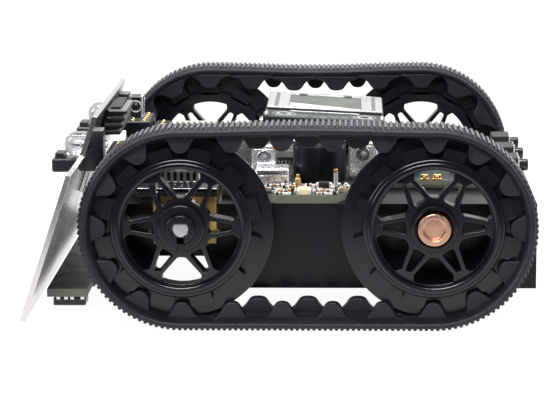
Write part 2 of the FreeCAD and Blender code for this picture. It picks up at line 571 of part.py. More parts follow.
# --- check and write ----------------------------------------------------------------------------
doc.recompute()
bad = [o.Name for o in doc.Objects if any(x in ("Invalid", "Error") for x in o.State)]
if bad:
    raise SystemExit("objects that failed: %s" % [(doc.getObject(n).Label, doc.getObject(n).TypeId, [i.Name + " " + i.Label for i in doc.getObject(n).OutList]) for n in bad])
os.makedirs("parts", exist_ok=True)
lo, hi = [1e9] * 3, [-1e9] * 3
for label, obj in parts.items():
    shape = obj.Shape
    if shape.isNull() or not shape.isValid() or not shape.Solids:
        raise SystemExit("bad shape: " + label)
    if obj.Label != label:
        raise SystemExit("label clash: %s %s" % (label, obj.Label))
    bb = shape.BoundBox
    for i, (a, b) in enumerate(((bb.XMin, bb.XMax), (bb.YMin, bb.YMax), (bb.ZMin, bb.ZMax))):
        lo[i], hi[i] = min(lo[i], a), max(hi[i], b)
for label, obj in parts.items():
    obj.Shape.exportStep("parts/%s.step" % label)
print("nodes", len(parts), "box", [round(v, 3) for v in lo], [round(v, 3) for v in hi])
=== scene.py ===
import bpy
import bmesh
import json
import math
import random
from mathutils import Vector, Matrix


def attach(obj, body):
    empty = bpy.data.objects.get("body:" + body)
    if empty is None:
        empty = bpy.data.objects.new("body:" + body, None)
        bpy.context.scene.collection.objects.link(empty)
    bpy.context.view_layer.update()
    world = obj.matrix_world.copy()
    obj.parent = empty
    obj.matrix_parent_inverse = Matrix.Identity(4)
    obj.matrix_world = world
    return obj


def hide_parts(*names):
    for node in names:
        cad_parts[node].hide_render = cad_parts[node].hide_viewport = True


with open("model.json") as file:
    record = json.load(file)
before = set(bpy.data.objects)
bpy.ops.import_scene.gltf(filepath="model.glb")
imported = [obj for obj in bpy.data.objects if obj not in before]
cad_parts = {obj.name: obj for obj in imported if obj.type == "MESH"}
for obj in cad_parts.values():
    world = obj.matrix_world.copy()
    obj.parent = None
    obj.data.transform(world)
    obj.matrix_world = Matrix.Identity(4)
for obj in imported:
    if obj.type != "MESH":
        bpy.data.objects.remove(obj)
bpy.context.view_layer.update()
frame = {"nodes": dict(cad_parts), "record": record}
rng = random.Random(7)

MM = 0.001
XM = -5.2                      # half way between the wheels, in mm
XD, XI, AZ = XM + 23.75, XM - 23.75, 19.4
BT = 23.7                      # top of the main board


# ================================================================================================
# materials
# ================================================================================================
def tree(name):
    m = bpy.data.materials.new(name)
    m.use_nodes = True
    nt = m.node_tree
    bsdf = nt.nodes["Principled BSDF"]
    return m, nt, bsdf


def node(nt, kind, inputs=None, **props):
    n = nt.nodes.new(kind)
    for k, v in props.items():
        setattr(n, k, v)
    for k, v in (inputs or {}).items():
        n.inputs[k].default_value = v
    return n


def coords(nt, scale=(1, 1, 1), rot=(0, 0, 0)):
    tc = node(nt, "ShaderNodeTexCoord")
    mp = node(nt, "ShaderNodeMapping", {"Scale": scale, "Rotation": rot})
    nt.links.new(tc.outputs["Object"], mp.inputs["Vector"])
    return mp.outputs["Vector"]


def noise(nt, vec, scale, detail=4.0, rough=0.55):
    n = node(nt, "ShaderNodeTexNoise", {"Scale": scale, "Detail": detail, "Roughness": rough})
    nt.links.new(vec, n.inputs["Vector"])
    return n.outputs["Fac"]


def ramp(nt, fac, stops):
    r = node(nt, "ShaderNodeValToRGB")
    while len(r.color_ramp.elements) < len(stops):
        r.color_ramp.elements.new(0.5)
    for e, (p, c) in zip(r.color_ramp.elements, stops):
        e.position = p
        e.color = c if len(c) == 4 else (*c, 1)
    nt.links.new(fac, r.inputs["Fac"])
    return r.outputs["Color"]


def remap(nt, fac, lo, hi, a=0.3, b=0.7):
    r = node(nt, "ShaderNodeMapRange", {"From Min": a, "From Max": b, "To Min": lo, "To Max": hi})
    nt.links.new(fac, r.inputs["Value"])
    return r.outputs["Result"]


def bump(nt, bsdf, height, distance, strength=0.5, chain=None):
    b = node(nt, "ShaderNodeBump", {"Strength": strength, "Distance": distance})
    nt.links.new(height, b.inputs["Height"])
    if chain is not None:
        nt.links.new(chain, b.inputs["Normal"])
    nt.links.new(b.outputs["Normal"], bsdf.inputs["Normal"])
    return b.outputs["Normal"]


def shade(c, k):
    return tuple(min(1.0, max(0.0, v * k)) for v in c)


def surface(name, base, rough, metal=0.0, vary=0.25, grain=900.0, depth=0.00002, stretch=(1, 1, 1), rough_vary=0.12,
            strength=0.4, coat=0.0, coat_rough=0.1, spec=0.5, sheen=0.0, patch=60.0, extra=None):
    """One moulded, cast or rolled surface: broad patches of tone, fine grain in bump, uneven gloss."""
    m, nt, b = tree(name)
    vec = coords(nt, stretch)
    plain = coords(nt)
    broad = noise(nt, plain, patch, 5.0)
    fine = noise(nt, vec, grain, 6.0, 0.6)
    mixf = node(nt, "ShaderNodeMath", operation="MULTIPLY_ADD")
    nt.links.new(broad, mixf.inputs[0])
    mixf.inputs[1].default_value = 0.6
    add = node(nt, "ShaderNodeMath", operation="MULTIPLY")
    nt.links.new(fine, add.inputs[0])
    add.inputs[1].default_value = 0.4
    nt.links.new(add.outputs[0], mixf.inputs[2])
    col = ramp(nt, mixf.outputs[0], [(0.3, shade(base, 1 - vary)), (0.5, base), (0.72, shade(base, 1 + vary))])
    nt.links.new(col, b.inputs["Base Color"])
    nt.links.new(remap(nt, mixf.outputs[0], max(0.03, rough - rough_vary), min(1.0, rough + rough_vary)), b.inputs["Roughness"])
    b.inputs["Metallic"].default_value = metal
    b.inputs["Specular IOR Level"].default_value = spec
    if coat:
        b.inputs["Coat Weight"].default_value = coat
        b.inputs["Coat Roughness"].default_value = coat_rough
    if sheen:
        b.inputs["Sheen Weight"].default_value = sheen
        b.inputs["Sheen Roughness"].default_value = 0.5
    bump(nt, b, fine, depth, strength)
    return m


M = {}
M["abs"] = surface("abs_black", (0.0040, 0.0042, 0.0072), 0.30, vary=0.22, grain=5200, depth=0.00002, strength=0.3, spec=0.26)
M["sprocket"] = surface("sprocket_black", (0.0062, 0.0062, 0.0098), 0.19, vary=0.3, grain=2600, depth=0.00001, strength=0.25, rough_vary=0.06, spec=0.44)
M["rubber"] = surface("track_rubber", (0.0100, 0.0104, 0.0160), 0.44, vary=0.5, grain=2600, depth=0.00008, strength=0.75, rough_vary=0.14, spec=0.36, patch=420)
# rib tops: a glossier rubber, with a base three times lighter than the track rubber as a painted highlight
M["rubber_rib_lit"] = surface("track_rib_rubber_lit", (0.030, 0.031, 0.037), 0.26, vary=0.25, grain=3600, depth=0.00002, strength=0.35, rough_vary=0.08, spec=0.6, patch=420)
M["steel"] = surface("steel_bright", (0.62, 0.63, 0.65), 0.22, metal=1.0, vary=0.12, grain=1800, depth=0.00001, strength=0.3)
M["shaft"] = surface("steel_shaft", (0.74, 0.74, 0.76), 0.28, metal=1.0, vary=0.12, grain=2600, stretch=(1, 0.1, 1), depth=0.00001, strength=0.3)
M["can"] = surface("steel_can", (0.58, 0.59, 0.60), 0.26, metal=1.0, vary=0.10, grain=1500, stretch=(1, 0.08, 1), depth=0.00001, strength=0.3)
M["stainless"] = surface("stainless", (0.70, 0.675, 0.665), 0.24, metal=1.0, vary=0.10, grain=2400, stretch=(1, 0.03, 1), depth=0.000008, strength=0.2, rough_vary=0.08, patch=25)
M["brass"] = surface("brass_plate", (0.93, 0.62, 0.20), 0.34, metal=0.6, vary=0.14, grain=2400, stretch=(0.1, 1, 1), depth=0.00001, strength=0.3)
M["copper"] = surface("copper_plated", (0.72, 0.43, 0.30), 0.30, metal=1.0, vary=0.18, grain=1800, depth=0.00001, strength=0.3)
M["silver"] = surface("silver_tinned", (0.82, 0.82, 0.83), 0.27, metal=0.8, vary=0.10, grain=2600, depth=0.000006, strength=0.25, rough_vary=0.10)
M["nickel"] = surface("nickel", (0.66, 0.64, 0.60), 0.27, metal=1.0, vary=0.12, grain=1500, depth=0.00001)
M["gold"] = surface("gold_contact", (0.80, 0.53, 0.20), 0.25, metal=1.0, vary=0.15, grain=1500, depth=0.00001)
M["tan"] = surface("capacitor_tan", (0.42, 0.25, 0.11), 0.45, vary=0.25, grain=3000, depth=0.00001)
M["cream"] = surface("cream_block", (0.80, 0.66, 0.38), 0.40, vary=0.16, grain=2500, depth=0.00001)
M["white"] = surface("white_moulding", (0.80, 0.80, 0.78), 0.42, vary=0.08, grain=2500, depth=0.00001)
M["ivory"] = surface("ivory_moulding", (0.62, 0.58, 0.48), 0.42, vary=0.12, grain=2500, depth=0.00001)
# board-edge green darkened to about a third: painted shade of a board edge
M["edge_green_shaded"] = surface("edge_green_painted_shade", (0.05, 0.052, 0.045), 0.38, vary=0.3, grain=2500, depth=0.00001)
# light grey sheet for the display glass: a painted reflection
M["painted_glare"] = surface("window_painted_reflection", (0.56, 0.57, 0.55), 0.26, vary=0.05, grain=800, depth=0.000004, strength=0.1, spec=0.5)
M["bezel"] = surface("bezel_tinned", (0.50, 0.50, 0.505), 0.36, metal=0.7, vary=0.16, grain=2600, depth=0.000006, strength=0.25, rough_vary=0.10, spec=0.4, patch=260)
# the bezel metal darkened to a third: painted shade
M["bezel_shaded"] = surface("bezel_painted_shade", (0.16, 0.16, 0.165), 0.40, metal=0.5, vary=0.2, grain=2600, depth=0.000006, strength=0.25, spec=0.3)
M["block_top"] = surface("block_cap", (0.22, 0.22, 0.225), 0.42, metal=0.3, vary=0.2, grain=2600, depth=0.000006, strength=0.25, spec=0.3)
M["sounder"] = surface("sounder_black", (0.0030, 0.0040, 0.0062), 0.30, vary=0.25, grain=4000, depth=0.00001, strength=0.3, spec=0.22)
M["grey"] = surface("grey_moulding", (0.20, 0.205, 0.21), 0.40, vary=0.15, grain=2500, depth=0.00001)
M["chip"] = surface("chip_black", (0.014, 0.014, 0.016), 0.46, vary=0.25, grain=6000, depth=0.00002, strength=0.4)
M["header"] = surface("header_black", (0.0065, 0.007, 0.010), 0.33, vary=0.25, grain=4000, depth=0.00002, strength=0.3)
M["button"] = surface("button_black", (0.012, 0.012, 0.014), 0.22, vary=0.2, grain=3000, depth=0.00001)
M["blue"] = surface("trimmer_blue", (0.02, 0.09, 0.36), 0.35, vary=0.2, grain=3000, depth=0.00001)
M["fr4"] = surface("board_edge", (0.135, 0.142, 0.110), 0.62, vary=0.22, grain=1500, stretch=(0.2, 0.2, 3.0), depth=0.00003, strength=0.5, spec=0.3)
M["cell"] = surface("cell_jacket", (0.03, 0.035, 0.05), 0.25, vary=0.2, grain=500, depth=0.00001)


def board_face(name, mask=(0.006, 0.010, 0.011), trace=(0.013, 0.022, 0.024), scale=1.0):
    """Dark solder mask over etched copper: routed tracks show as faint raised lines, vias as small dots."""
    m, nt, b = tree(name)
    vec = coords(nt)
    bricks = node(nt, "ShaderNodeTexBrick", {"Scale": 520.0 * scale, "Mortar Size": 0.055, "Mortar Smooth": 0.2, "Bias": 0.0, "Brick Width": 2.6, "Row Height": 0.62,
                                             "Color1": (0, 0, 0, 1), "Color2": (0, 0, 0, 1), "Mortar": (1, 1, 1, 1)})
    wob = node(nt, "ShaderNodeTexVoronoi", {"Scale": 260.0 * scale}, distance="CHEBYCHEV")
    nt.links.new(vec, wob.inputs["Vector"])
    nt.links.new(vec, bricks.inputs["Vector"])
    vias = node(nt, "ShaderNodeTexVoronoi", {"Scale": 420.0 * scale, "Randomness": 0.9})
    nt.links.new(vec, vias.inputs["Vector"])
    dot = node(nt, "ShaderNodeMath", operation="LESS_THAN")
    nt.links.new(vias.outputs["Distance"], dot.inputs[0])
    dot.inputs[1].default_value = 0.13
    mx = node(nt, "ShaderNodeMath", operation="MAXIMUM")
    nt.links.new(bricks.outputs["Color"], mx.inputs[0])
    nt.links.new(dot.outputs[0], mx.inputs[1])
    col = ramp(nt, mx.outputs[0], [(0.2, mask), (0.8, trace)])
    nt.links.new(col, b.inputs["Base Color"])
    nt.links.new(remap(nt, noise(nt, vec, 300.0), 0.22, 0.40), b.inputs["Roughness"])
    b.inputs["Specular IOR Level"].default_value = 0.4
    bump(nt, b, mx.outputs[0], 0.00003, 0.5)
    return m


M["pcb"] = board_face("solder_mask")


def glassy(name, tint=(0.66, 0.67, 0.69), rough=0.06, alpha=None):
    m, nt, b = tree(name)
    vec = coords(nt)
    nt.links.new(ramp(nt, noise(nt, vec, 500.0), [(0.3, shade(tint, 0.96)), (0.7, tint)]), b.inputs["Base Color"])
    nt.links.new(remap(nt, noise(nt, vec, 900.0), max(0.0, rough - 0.02), rough + 0.03), b.inputs["Roughness"])
    b.inputs["Transmission Weight"].default_value = 1.0
    b.inputs["IOR"].default_value = 1.5
    bump(nt, b, noise(nt, vec, 350.0), 0.00002, 0.15)
    return m


M["clear"] = glassy("clear_lens")


def display_glass():
    m, nt, b = tree("display_glass")
    vec = coords(nt)
    streak = noise(nt, coords(nt, (1, 0.2, 1), (0, 0, 0.5)), 90.0)
    nt.links.new(ramp(nt, streak, [(0.3, (0.055, 0.064, 0.054)), (0.55, (0.085, 0.095, 0.080)), (0.75, (0.125, 0.135, 0.115))]), b.inputs["Base Color"])
    nt.links.new(remap(nt, noise(nt, vec, 200.0), 0.30, 0.45), b.inputs["Roughness"])
    b.inputs["Specular IOR Level"].default_value = 0.12
    b.inputs["Coat Weight"].default_value = 0.05
    b.inputs["Coat Roughness"].default_value = 0.08
    bump(nt, b, noise(nt, vec, 150.0), 0.00002, 0.15)
    return m


M["lcd"] = display_glass()


# ================================================================================================
# mesh building
# ================================================================================================
class Build:
    """Collects shapes, in mm, into one piece with a material slot for each material used."""

    def __init__(self):
        self.v, self.f, self.m, self.mats = [], [], [], []

    def slot(self, key):
        if key not in self.mats:
            self.mats.append(key)
        return self.mats.index(key)

    def add(self, verts, faces, key, at=None):
        base, s = len(self.v), self.slot(key)
        self.v += [tuple(at @ Vector(p)) for p in verts] if at is not None else [tuple(p) for p in verts]
        self.f += [tuple(i + base for i in f) for f in faces]
        self.m += [s] * len(faces)

    def box(self, x0, x1, y0, y1, z0, z1, key, c=0.06, at=None):
        """A box with every edge chamfered."""
        c = min(c, 0.45 * min(x1 - x0, y1 - y0, z1 - z0))
        lo, hi = (x0, y0, z0), (x1, y1, z1)
        idx, verts = {}, []
        for sx in (0, 1):
            for sy in (0, 1):
                for sz in (0, 1):
                    sgn = (sx, sy, sz)
                    for face in range(3):
                        p = []
                        for ax in range(3):
                            v = hi[ax] if sgn[ax] else lo[ax]
                            if ax != face:
                                v += -c if sgn[ax] else c
                            p.append(v)
                        idx[(sgn, face)] = len(verts)
                        verts.append(p)
        faces = []
        for face in range(3):
            u, w = (face + 1) % 3, (face + 2) % 3
            for s in (0, 1):
                ring = []
                for a, b in ((0, 0), (1, 0), (1, 1), (0, 1)):
                    sgn = [0, 0, 0]
                    sgn[face], sgn[u], sgn[w] = s, a, b
                    ring.append(idx[(tuple(sgn), face)])
                faces.append(ring if s else ring[::-1])
        for ax in range(3):                       # chamfer strips along each axis
            u, w = (ax + 1) % 3, (ax + 2) % 3
            for a in (0, 1):
                for b in (0, 1):
                    s0, s1 = [0, 0, 0], [0, 0, 0]
                    s0[u], s0[w], s1[u], s1[w], s1[ax] = a, b, a, b, 1
                    q = [idx[(tuple(s0), u)], idx[(tuple(s1), u)], idx[(tuple(s1), w)], idx[(tuple(s0), w)]]
                    faces.append(q if (a ^ b) else q[::-1])
        for sgn in [(a, b, d) for a in (0, 1) for b in (0, 1) for d in (0, 1)]:
            q = [idx[(sgn, 0)], idx[(sgn, 1)], idx[(sgn, 2)]]
            faces.append(q if (sum(sgn) % 2) else q[::-1])
        self.add(verts, faces, key, at)

    def lathe(self, profile, at, key, seg=48, close=False):
        """Turns (radius, height) points about the local Z of at."""
        verts, faces, n = [], [], len(profile)
        for i in range(seg):
            a = 2 * math.pi * i / seg
            for r, z in profile:
                verts.append((r * math.cos(a), r * math.sin(a), z))
        for i in range(seg):
            j = (i + 1) % seg
            for k in range(n if close else n - 1):
                k2 = (k + 1) % n
                faces.append((i * n + k, j * n + k, j * n + k2, i * n + k2))
        if not close:
            if profile[0][0] > 1e-6:
                faces.append([i * n for i in range(seg)][::-1])
            if profile[-1][0] > 1e-6:
                faces.append([i * n + n - 1 for i in range(seg)])
        self.add(verts, faces, key, at)

    def cyl(self, r, z0, z1, at, key, c=0.08, seg=40):
        c = min(c, 0.45 * (z1 - z0), 0.5 * r)
        self.lathe([(r - c, z0), (r, z0 + c), (r, z1 - c), (r - c, z1)], at, key, seg)

    def prism(self, pts, z0, z1, key, at=None, c=0.08, steps=1):
        """A flat outline (counter-clockwise, convex corners or not) pulled from z0 to z1 with both rims rounded over."""
        n = len(pts)
        shift = []
        for i in range(n):
            p, a, b = Vector(pts[i]), Vector(pts[i - 1]), Vector(pts[(i + 1) % n])
            d1, d2 = (p - a).normalized(), (b - p).normalized()
            n1, n2 = Vector((-d1.y, d1.x)), Vector((-d2.y, d2.x))
            shift.append((n1 + n2) / max(0.35, 1 + n1.dot(n2)))
        levels = []
        for k in range(steps + 1):
            t = math.pi / 2 * k / steps
            levels.append((c * (1 - math.sin(t)), z0 + c * (1 - math.cos(t))))
        levels += [(q, z0 + z1 - z) for q, z in reversed(levels)]
        verts = [(pts[i][0] + shift[i].x * q, pts[i][1] + shift[i].y * q, z) for q, z in levels for i in range(n)]
        last = (len(levels) - 1) * n
        faces = [list(range(n))[::-1], [last + i for i in range(n)]]
        for k in range(len(levels) - 1):
            faces += [(k * n + i, k * n + (i + 1) % n, (k + 1) * n + (i + 1) % n, (k + 1) * n + i) for i in range(n)]
        self.add(verts, faces, key, at)

    def plate(self, loops, z0, z1, key, at=None, c=0.1, steps=2):
        """Outer outline and holes, filled, pulled from z0 to z1, with every rim rounded over by c."""
        cu = bpy.data.curves.new("outline", "CURVE")
        cu.dimensions, cu.fill_mode = "2D", "BOTH"
        cu.extrude = max(1e-4, (z1 - z0) / 2 - c)
        cu.bevel_depth, cu.bevel_resolution, cu.offset = c, steps, -c
        for loop in loops:
            sp = cu.splines.new("POLY")
            sp.points.add(len(loop) - 1)
            for q, pt in zip(sp.points, loop):
                q.co = (pt[0], pt[1], 0, 1)
            sp.use_cyclic_u = True
        o = bpy.data.objects.new("outline", cu)
        bpy.context.scene.collection.objects.link(o)
        dg = bpy.context.evaluated_depsgraph_get()
        me = bpy.data.meshes.new_from_object(o.evaluated_get(dg))
        bm = bmesh.new()
        bm.from_mesh(me)
        bmesh.ops.remove_doubles(bm, verts=bm.verts, dist=1e-5)
        bmesh.ops.dissolve_limit(bm, angle_limit=math.radians(0.5), verts=bm.verts, edges=bm.edges)
        bm.verts.ensure_lookup_table()
        self.add([(v.co.x, v.co.y, v.co.z + (z0 + z1) / 2) for v in bm.verts], [[v.index for v in f.verts] for f in bm.faces], key, at)
        bm.free()
        bpy.data.objects.remove(o)
        bpy.data.meshes.remove(me)
        bpy.data.curves.remove(cu)

    def tube(self, pts, r, key, seg=12):
        """A bent wire through these points."""
        verts, faces = [], []
        pts = [Vector(p) for p in pts]
        side = Vector((0, 1, 0))
        for i, p in enumerate(pts):
            t = ((pts[i + 1] if i + 1 < len(pts) else p) - (pts[i - 1] if i else p)).normalized()
            u = (side - t * side.dot(t))
            u = u.normalized() if u.length > 1e-3 else Vector((1, 0, 0))
            w = t.cross(u)
            for k in range(seg):
                a = 2 * math.pi * k / seg
                verts.append(p + (u * math.cos(a) + w * math.sin(a)) * r)
        for i in range(len(pts) - 1):
            faces += [(i * seg + k, i * seg + (k + 1) % seg, (i + 1) * seg + (k + 1) % seg, (i + 1) * seg + k) for k in range(seg)]
        faces += [list(range(seg))[::-1], [(len(pts) - 1) * seg + k for k in range(seg)]]
        self.add(verts, faces, key)

    def mirrored(self):
        """The same shapes again on the robot's other side."""
        n = len(self.v)
        self.v += [(x, -y, z) for x, y, z in self.v[:n]]
        faces = [tuple(i + n for i in reversed(f)) for f in self.f]
        self.f += faces
        self.m += list(self.m[: len(faces)])
        return self

    def piece(self, name, body, replaces=(), slot=None, angle=35, smooth=True, weighted=False):
        me = bpy.data.meshes.new(name)
        me.from_pydata([(x * MM, y * MM, z * MM) for x, y, z in self.v], [], self.f)
        for key in self.mats:
            me.materials.append(M[key])
        me.polygons.foreach_set("material_index", self.m)
        return finish_mesh(me, name, body, replaces, angle, smooth, weighted)


def finish_mesh(me, name, body, replaces=(), angle=35, smooth=True, weighted=False):
    bm = bmesh.new()
    bm.from_mesh(me)
    bmesh.ops.recalc_face_normals(bm, faces=bm.faces)
    bm.to_mesh(me)
    bm.free()
    if smooth:
        me.polygons.foreach_set("use_smooth", [True] * len(me.polygons))
        me.set_sharp_from_angle(angle=math.radians(angle))
    me.update()
    o = bpy.data.objects.new(name, me)
    bpy.context.scene.collection.objects.link(o)
    if weighted:
        w = o.modifiers.new("normals", "WEIGHTED_NORMAL")
        w.keep_sharp = True
        w.weight = 80
    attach(o, body)
    if replaces:
        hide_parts(*replaces)
    return o


def rounded(pts, r, n=5):
    """The outline with its corners turned into arcs of about radius r."""
    out = []
    for i, p in enumerate(pts):
        p, a, b = Vector(p), Vector(pts[i - 1]), Vector(pts[(i + 1) % len(pts)])
        u, w = (a - p), (b - p)
        rr = r[i] if isinstance(r, (list, tuple)) else r
        half = u.angle(w) / 2
        cut = min(rr / max(0.05, math.tan(half)), 0.48 * u.length, 0.48 * w.length)
        p0, p1 = p + u.normalized() * cut, p + w.normalized() * cut
        for k in range(n + 1):
            t = k / n
            out.append(tuple(p0 * (1 - t) ** 2 + p * 2 * t * (1 - t) + p1 * t * t))
    return out


def polar(r, deg):
    """Point at radius r and this angle from straight up, clockwise as seen from outside on the left."""
    return (r * math.sin(math.radians(deg)), r * math.cos(math.radians(deg)))


def upright(x, y, z):
    return Matrix.Translation((x, y, z))


def along_y(x, y, z, sign=1):
    """Local Z along +Y (or -Y), so a lathe stands on the axle line."""
    return Matrix.Translation((x, y, z)) @ Matrix.Rotation(math.radians(-90 * sign), 4, "X")


def along_x(x, y, z, sign=1):
    return Matrix.Translation((x, y, z)) @ Matrix.Rotation(math.radians(90 * sign), 4, "Y")


BODY_OF = {n: b for b, ns in frame["record"]["behaviour"]["bodies"].items() for n in ns}


def from_cad(names, key, piece=None, bevel=0.12, segments=2, angle=28, edge_key=None, up_key=None):
    """A finer copy of CAD nodes: coplanar facets merged, sharp edges rounded, and its own material."""
    names = [names] if isinstance(names, str) else names
    bm = bmesh.new()
    for n in names:
        src = frame["nodes"][n]
        me = src.data.copy()
        me.transform(src.matrix_world)
        bm.from_mesh(me)
    bmesh.ops.remove_doubles(bm, verts=bm.verts, dist=2e-6)
    bmesh.ops.dissolve_limit(bm, angle_limit=math.radians(0.8), verts=bm.verts, edges=bm.edges)
    bmesh.ops.recalc_face_normals(bm, faces=bm.faces)
    for f in bm.faces:
        f.material_index = 0
        if edge_key and abs(f.normal.z) < 0.5:
            f.material_index = 1
    me = bpy.data.meshes.new(piece or names[0] + "_fine")
    bm.to_mesh(me)
    bm.free()
    me.materials.append(M[key])
    if edge_key:
        me.materials.append(M[edge_key])
    me.polygons.foreach_set("use_smooth", [True] * len(me.polygons))
    me.set_sharp_from_angle(angle=math.radians(angle))
    o = bpy.data.objects.new(me.name, me)
    bpy.context.scene.collection.objects.link(o)
    if bevel:
        b = o.modifiers.new("rounding", "BEVEL")
        b.width = bevel * MM
        b.segments = segments
        b.limit_method = "ANGLE"
        b.angle_limit = math.radians(angle)
        b.use_clamp_overlap = True
        b.harden_normals = True
        b.miter_outer = "MITER_ARC"
    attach(o, BODY_OF[names[0]])
    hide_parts(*names)
    return o


# ================================================================================================
# camera, floor and light
# ================================================================================================
scene = bpy.context.scene
cam = bpy.data.cameras.new("camera")
cam.sensor_width = 36.0
cam.lens = 2225.9 / 560.0 * 36.0
cam.clip_start, cam.clip_end = 0.01, 20.0
camo = bpy.data.objects.new("camera", cam)
scene.collection.objects.link(camo)
YAW, PITCH, ROLL = 0.03405, 0.18895, -0.00548
fwd = Vector((math.sin(YAW) * math.cos(PITCH), -math.cos(YAW) * math.cos(PITCH), -math.sin(PITCH)))
right = fwd.cross(Vector((0, 0, 1))).normalized()
up = right.cross(fwd)
right, up = right * math.cos(ROLL) + up * math.sin(ROLL), up * math.cos(ROLL) - right * math.sin(ROLL)
camo.matrix_world = Matrix(((right.x, up.x, -fwd.x, -0.01403), (right.y, up.y, -fwd.y, 0.45485), (right.z, up.z, -fwd.z, 0.10295), (0, 0, 0, 1)))
scene.camera = camo

floor_me = bpy.data.meshes.new("floor")
floor_me.from_pydata([(-3, -3, 0), (3, -3, 0), (3, 0.13, 0), (-3, 0.13, 0)], [], [(0, 1, 2, 3)])
floor = bpy.data.objects.new("floor", floor_me)
scene.collection.objects.link(floor)
fm, fnt, fb = tree("floor_white")
nt_c = coords(fnt)
fnt.links.new(ramp(fnt, noise(fnt, nt_c, 3.0), [(0.3, (0.115, 0.115, 0.116)), (0.7, (0.125, 0.125, 0.125))]), fb.inputs["Base Color"])
fb.inputs["Roughness"].default_value = 0.85
fb.inputs["Specular IOR Level"].default_value = 0.1
fb.inputs["Emission Color"].default_value = (1, 1, 1, 1)
fb.inputs["Emission Strength"].default_value = 0.95
floor_me.materials.append(fm)

# white backdrop behind the robot, which falls off to a dim room in front of it
world = bpy.data.worlds.new("studio")
scene.world = world
world.use_nodes = True
wnt = world.node_tree
bg = wnt.nodes["Background"]
sky = node(wnt, "ShaderNodeTexCoord")
sep = node(wnt, "ShaderNodeSeparateXYZ")
wnt.links.new(sky.outputs["Generated"], sep.inputs[0])
half = node(wnt, "ShaderNodeMath", operation="MULTIPLY_ADD")
wnt.links.new(sep.outputs["Y"], half.inputs[0])
half.inputs[1].default_value = 0.5
half.inputs[2].default_value = 0.5
grad = ramp(wnt, half.outputs[0], [(0.0, (1.0, 1.0, 1.0)), (0.38, (0.95, 0.95, 0.96)), (0.54, (0.42, 0.42, 0.45)), (0.72, (0.11, 0.11, 0.13)), (1.0, (0.07, 0.07, 0.085))])
path = node(wnt, "ShaderNodeLightPath")
mixw = node(wnt, "ShaderNodeMix", data_type="RGBA")
wnt.links.new(path.outputs["Is Camera Ray"], mixw.inputs["Factor"])
wnt.links.new(grad, mixw.inputs[6])
mixw.inputs[7].default_value = (1, 1, 1, 1)
wnt.links.new(mixw.outputs[2], bg.inputs["Color"])
bg.inputs["Strength"].default_value = 1.0


def softbox(name, at, to, size, watts, size_y=None):
    l = bpy.data.lights.new(name, "AREA")
    l.shape = "RECTANGLE"
    l.size, l.size_y = size, size_y or size
    l.energy = watts
    o = bpy.data.objects.new(name, l)
    o.location = at
    o.rotation_euler = (Vector(to) - Vector(at)).to_track_quat("-Z", "Y").to_euler()
    scene.collection.objects.link(o)


softbox("top_strip", (0.0, 0.0, 0.75), (0, 0, 0.0), 0.60, 6.0, 0.10)
softbox("left_soft", (0.60, 0.10, 0.36), (0, 0, 0.02), 0.16, 3.2, 0.36)
softbox("right_soft", (-0.60, 0.03, 0.46), (0, 0, 0.02), 0.16, 3.8, 0.36)
softbox("front_fill", (0.10, 0.90, 0.62), (0, 0, 0.02), 0.45, 8.5, 0.25)
scene.view_settings.view_transform = "Standard"


# ================================================================================================
# tracks: a ribbed band with a slot for the sprocket disc and two staggered rows of drive lobes
# ================================================================================================
LOOP = 57.0 + 47.5 + 57.0 + 47.5
SLACK = [0.42]


def on_track(s, d):
    """Point at distance s along the pitch line and depth d under the tread, with the tangent and the outward normal."""
    s %= LOOP
    r = 19.4 - d
    if s < 57.0:
        a = math.pi * s / 57.0
        return XD + r * math.sin(a), AZ + r * math.cos(a), a
    if s < 104.5:
        return XD - (s - 57.0), AZ - r, math.pi
    if s < 161.5:
        a = math.pi + math.pi * (s - 104.5) / 57.0
        return XI + r * math.sin(a), AZ + r * math.cos(a), a
    u = s - 161.5
    return XI + u, AZ + r + SLACK[0] * math.sin(math.pi * u / 47.5) ** 2, 2 * math.pi


SECTION = [(49.0, 0.96, 0), (48.95, 0.80, 0), (48.82, 0.68, 0), (48.62, 0.63, 0), (48.40, 0.64, 0), (48.33, 0.84, 0), (48.20, 0.84, 0), (48.15, 0.60, 0), (48.06, 0.45, 0),
           (47.98, 0.12, 1), (47.84, 0.0, 1), (41.16, 0.0, 1), (41.02, 0.12, 1), (40.94, 0.45, 0), (40.85, 0.60, 0), (40.80, 0.84, 0), (40.67, 0.84, 0), (40.60, 0.64, 0),
           (40.38, 0.63, 0), (40.18, 0.68, 0), (40.05, 0.80, 0), (40.0, 0.96, 0), (40.0, 1.30, 0), (40.08, 1.50, 0), (40.3, 1.70, 0), (41.0, 2.1, 0), (43.5, 2.40, 0),
           (43.58, 1.68, 0), (45.02, 1.68, 0), (45.1, 2.38, 0), (46.9, 2.30, 0), (48.1, 1.95, 0), (48.72, 1.70, 0), (48.92, 1.50, 0), (49.0, 1.30, 0)]
LOBE = [(3.7, 2.25), (3.0, 2.4), (2.6, 2.6), (2.34, 2.92), (2.12, 3.35), (1.9, 3.8), (1.68, 4.2), (1.44, 4.56), (1.16, 4.86), (0.86, 5.07), (0.46, 5.18), (0.0, 5.22)]


LOBE_IN = [(4.74, 1.9), (4.74, 2.5), (4.3, 2.62), (3.7, 2.72), (3.15, 2.95), (2.7, 3.3), (2.32, 3.72), (2.02, 4.15), (1.74, 4.55), (1.42, 4.88), (1.0, 5.08), (0.5, 5.18), (0.0, 5.2)]


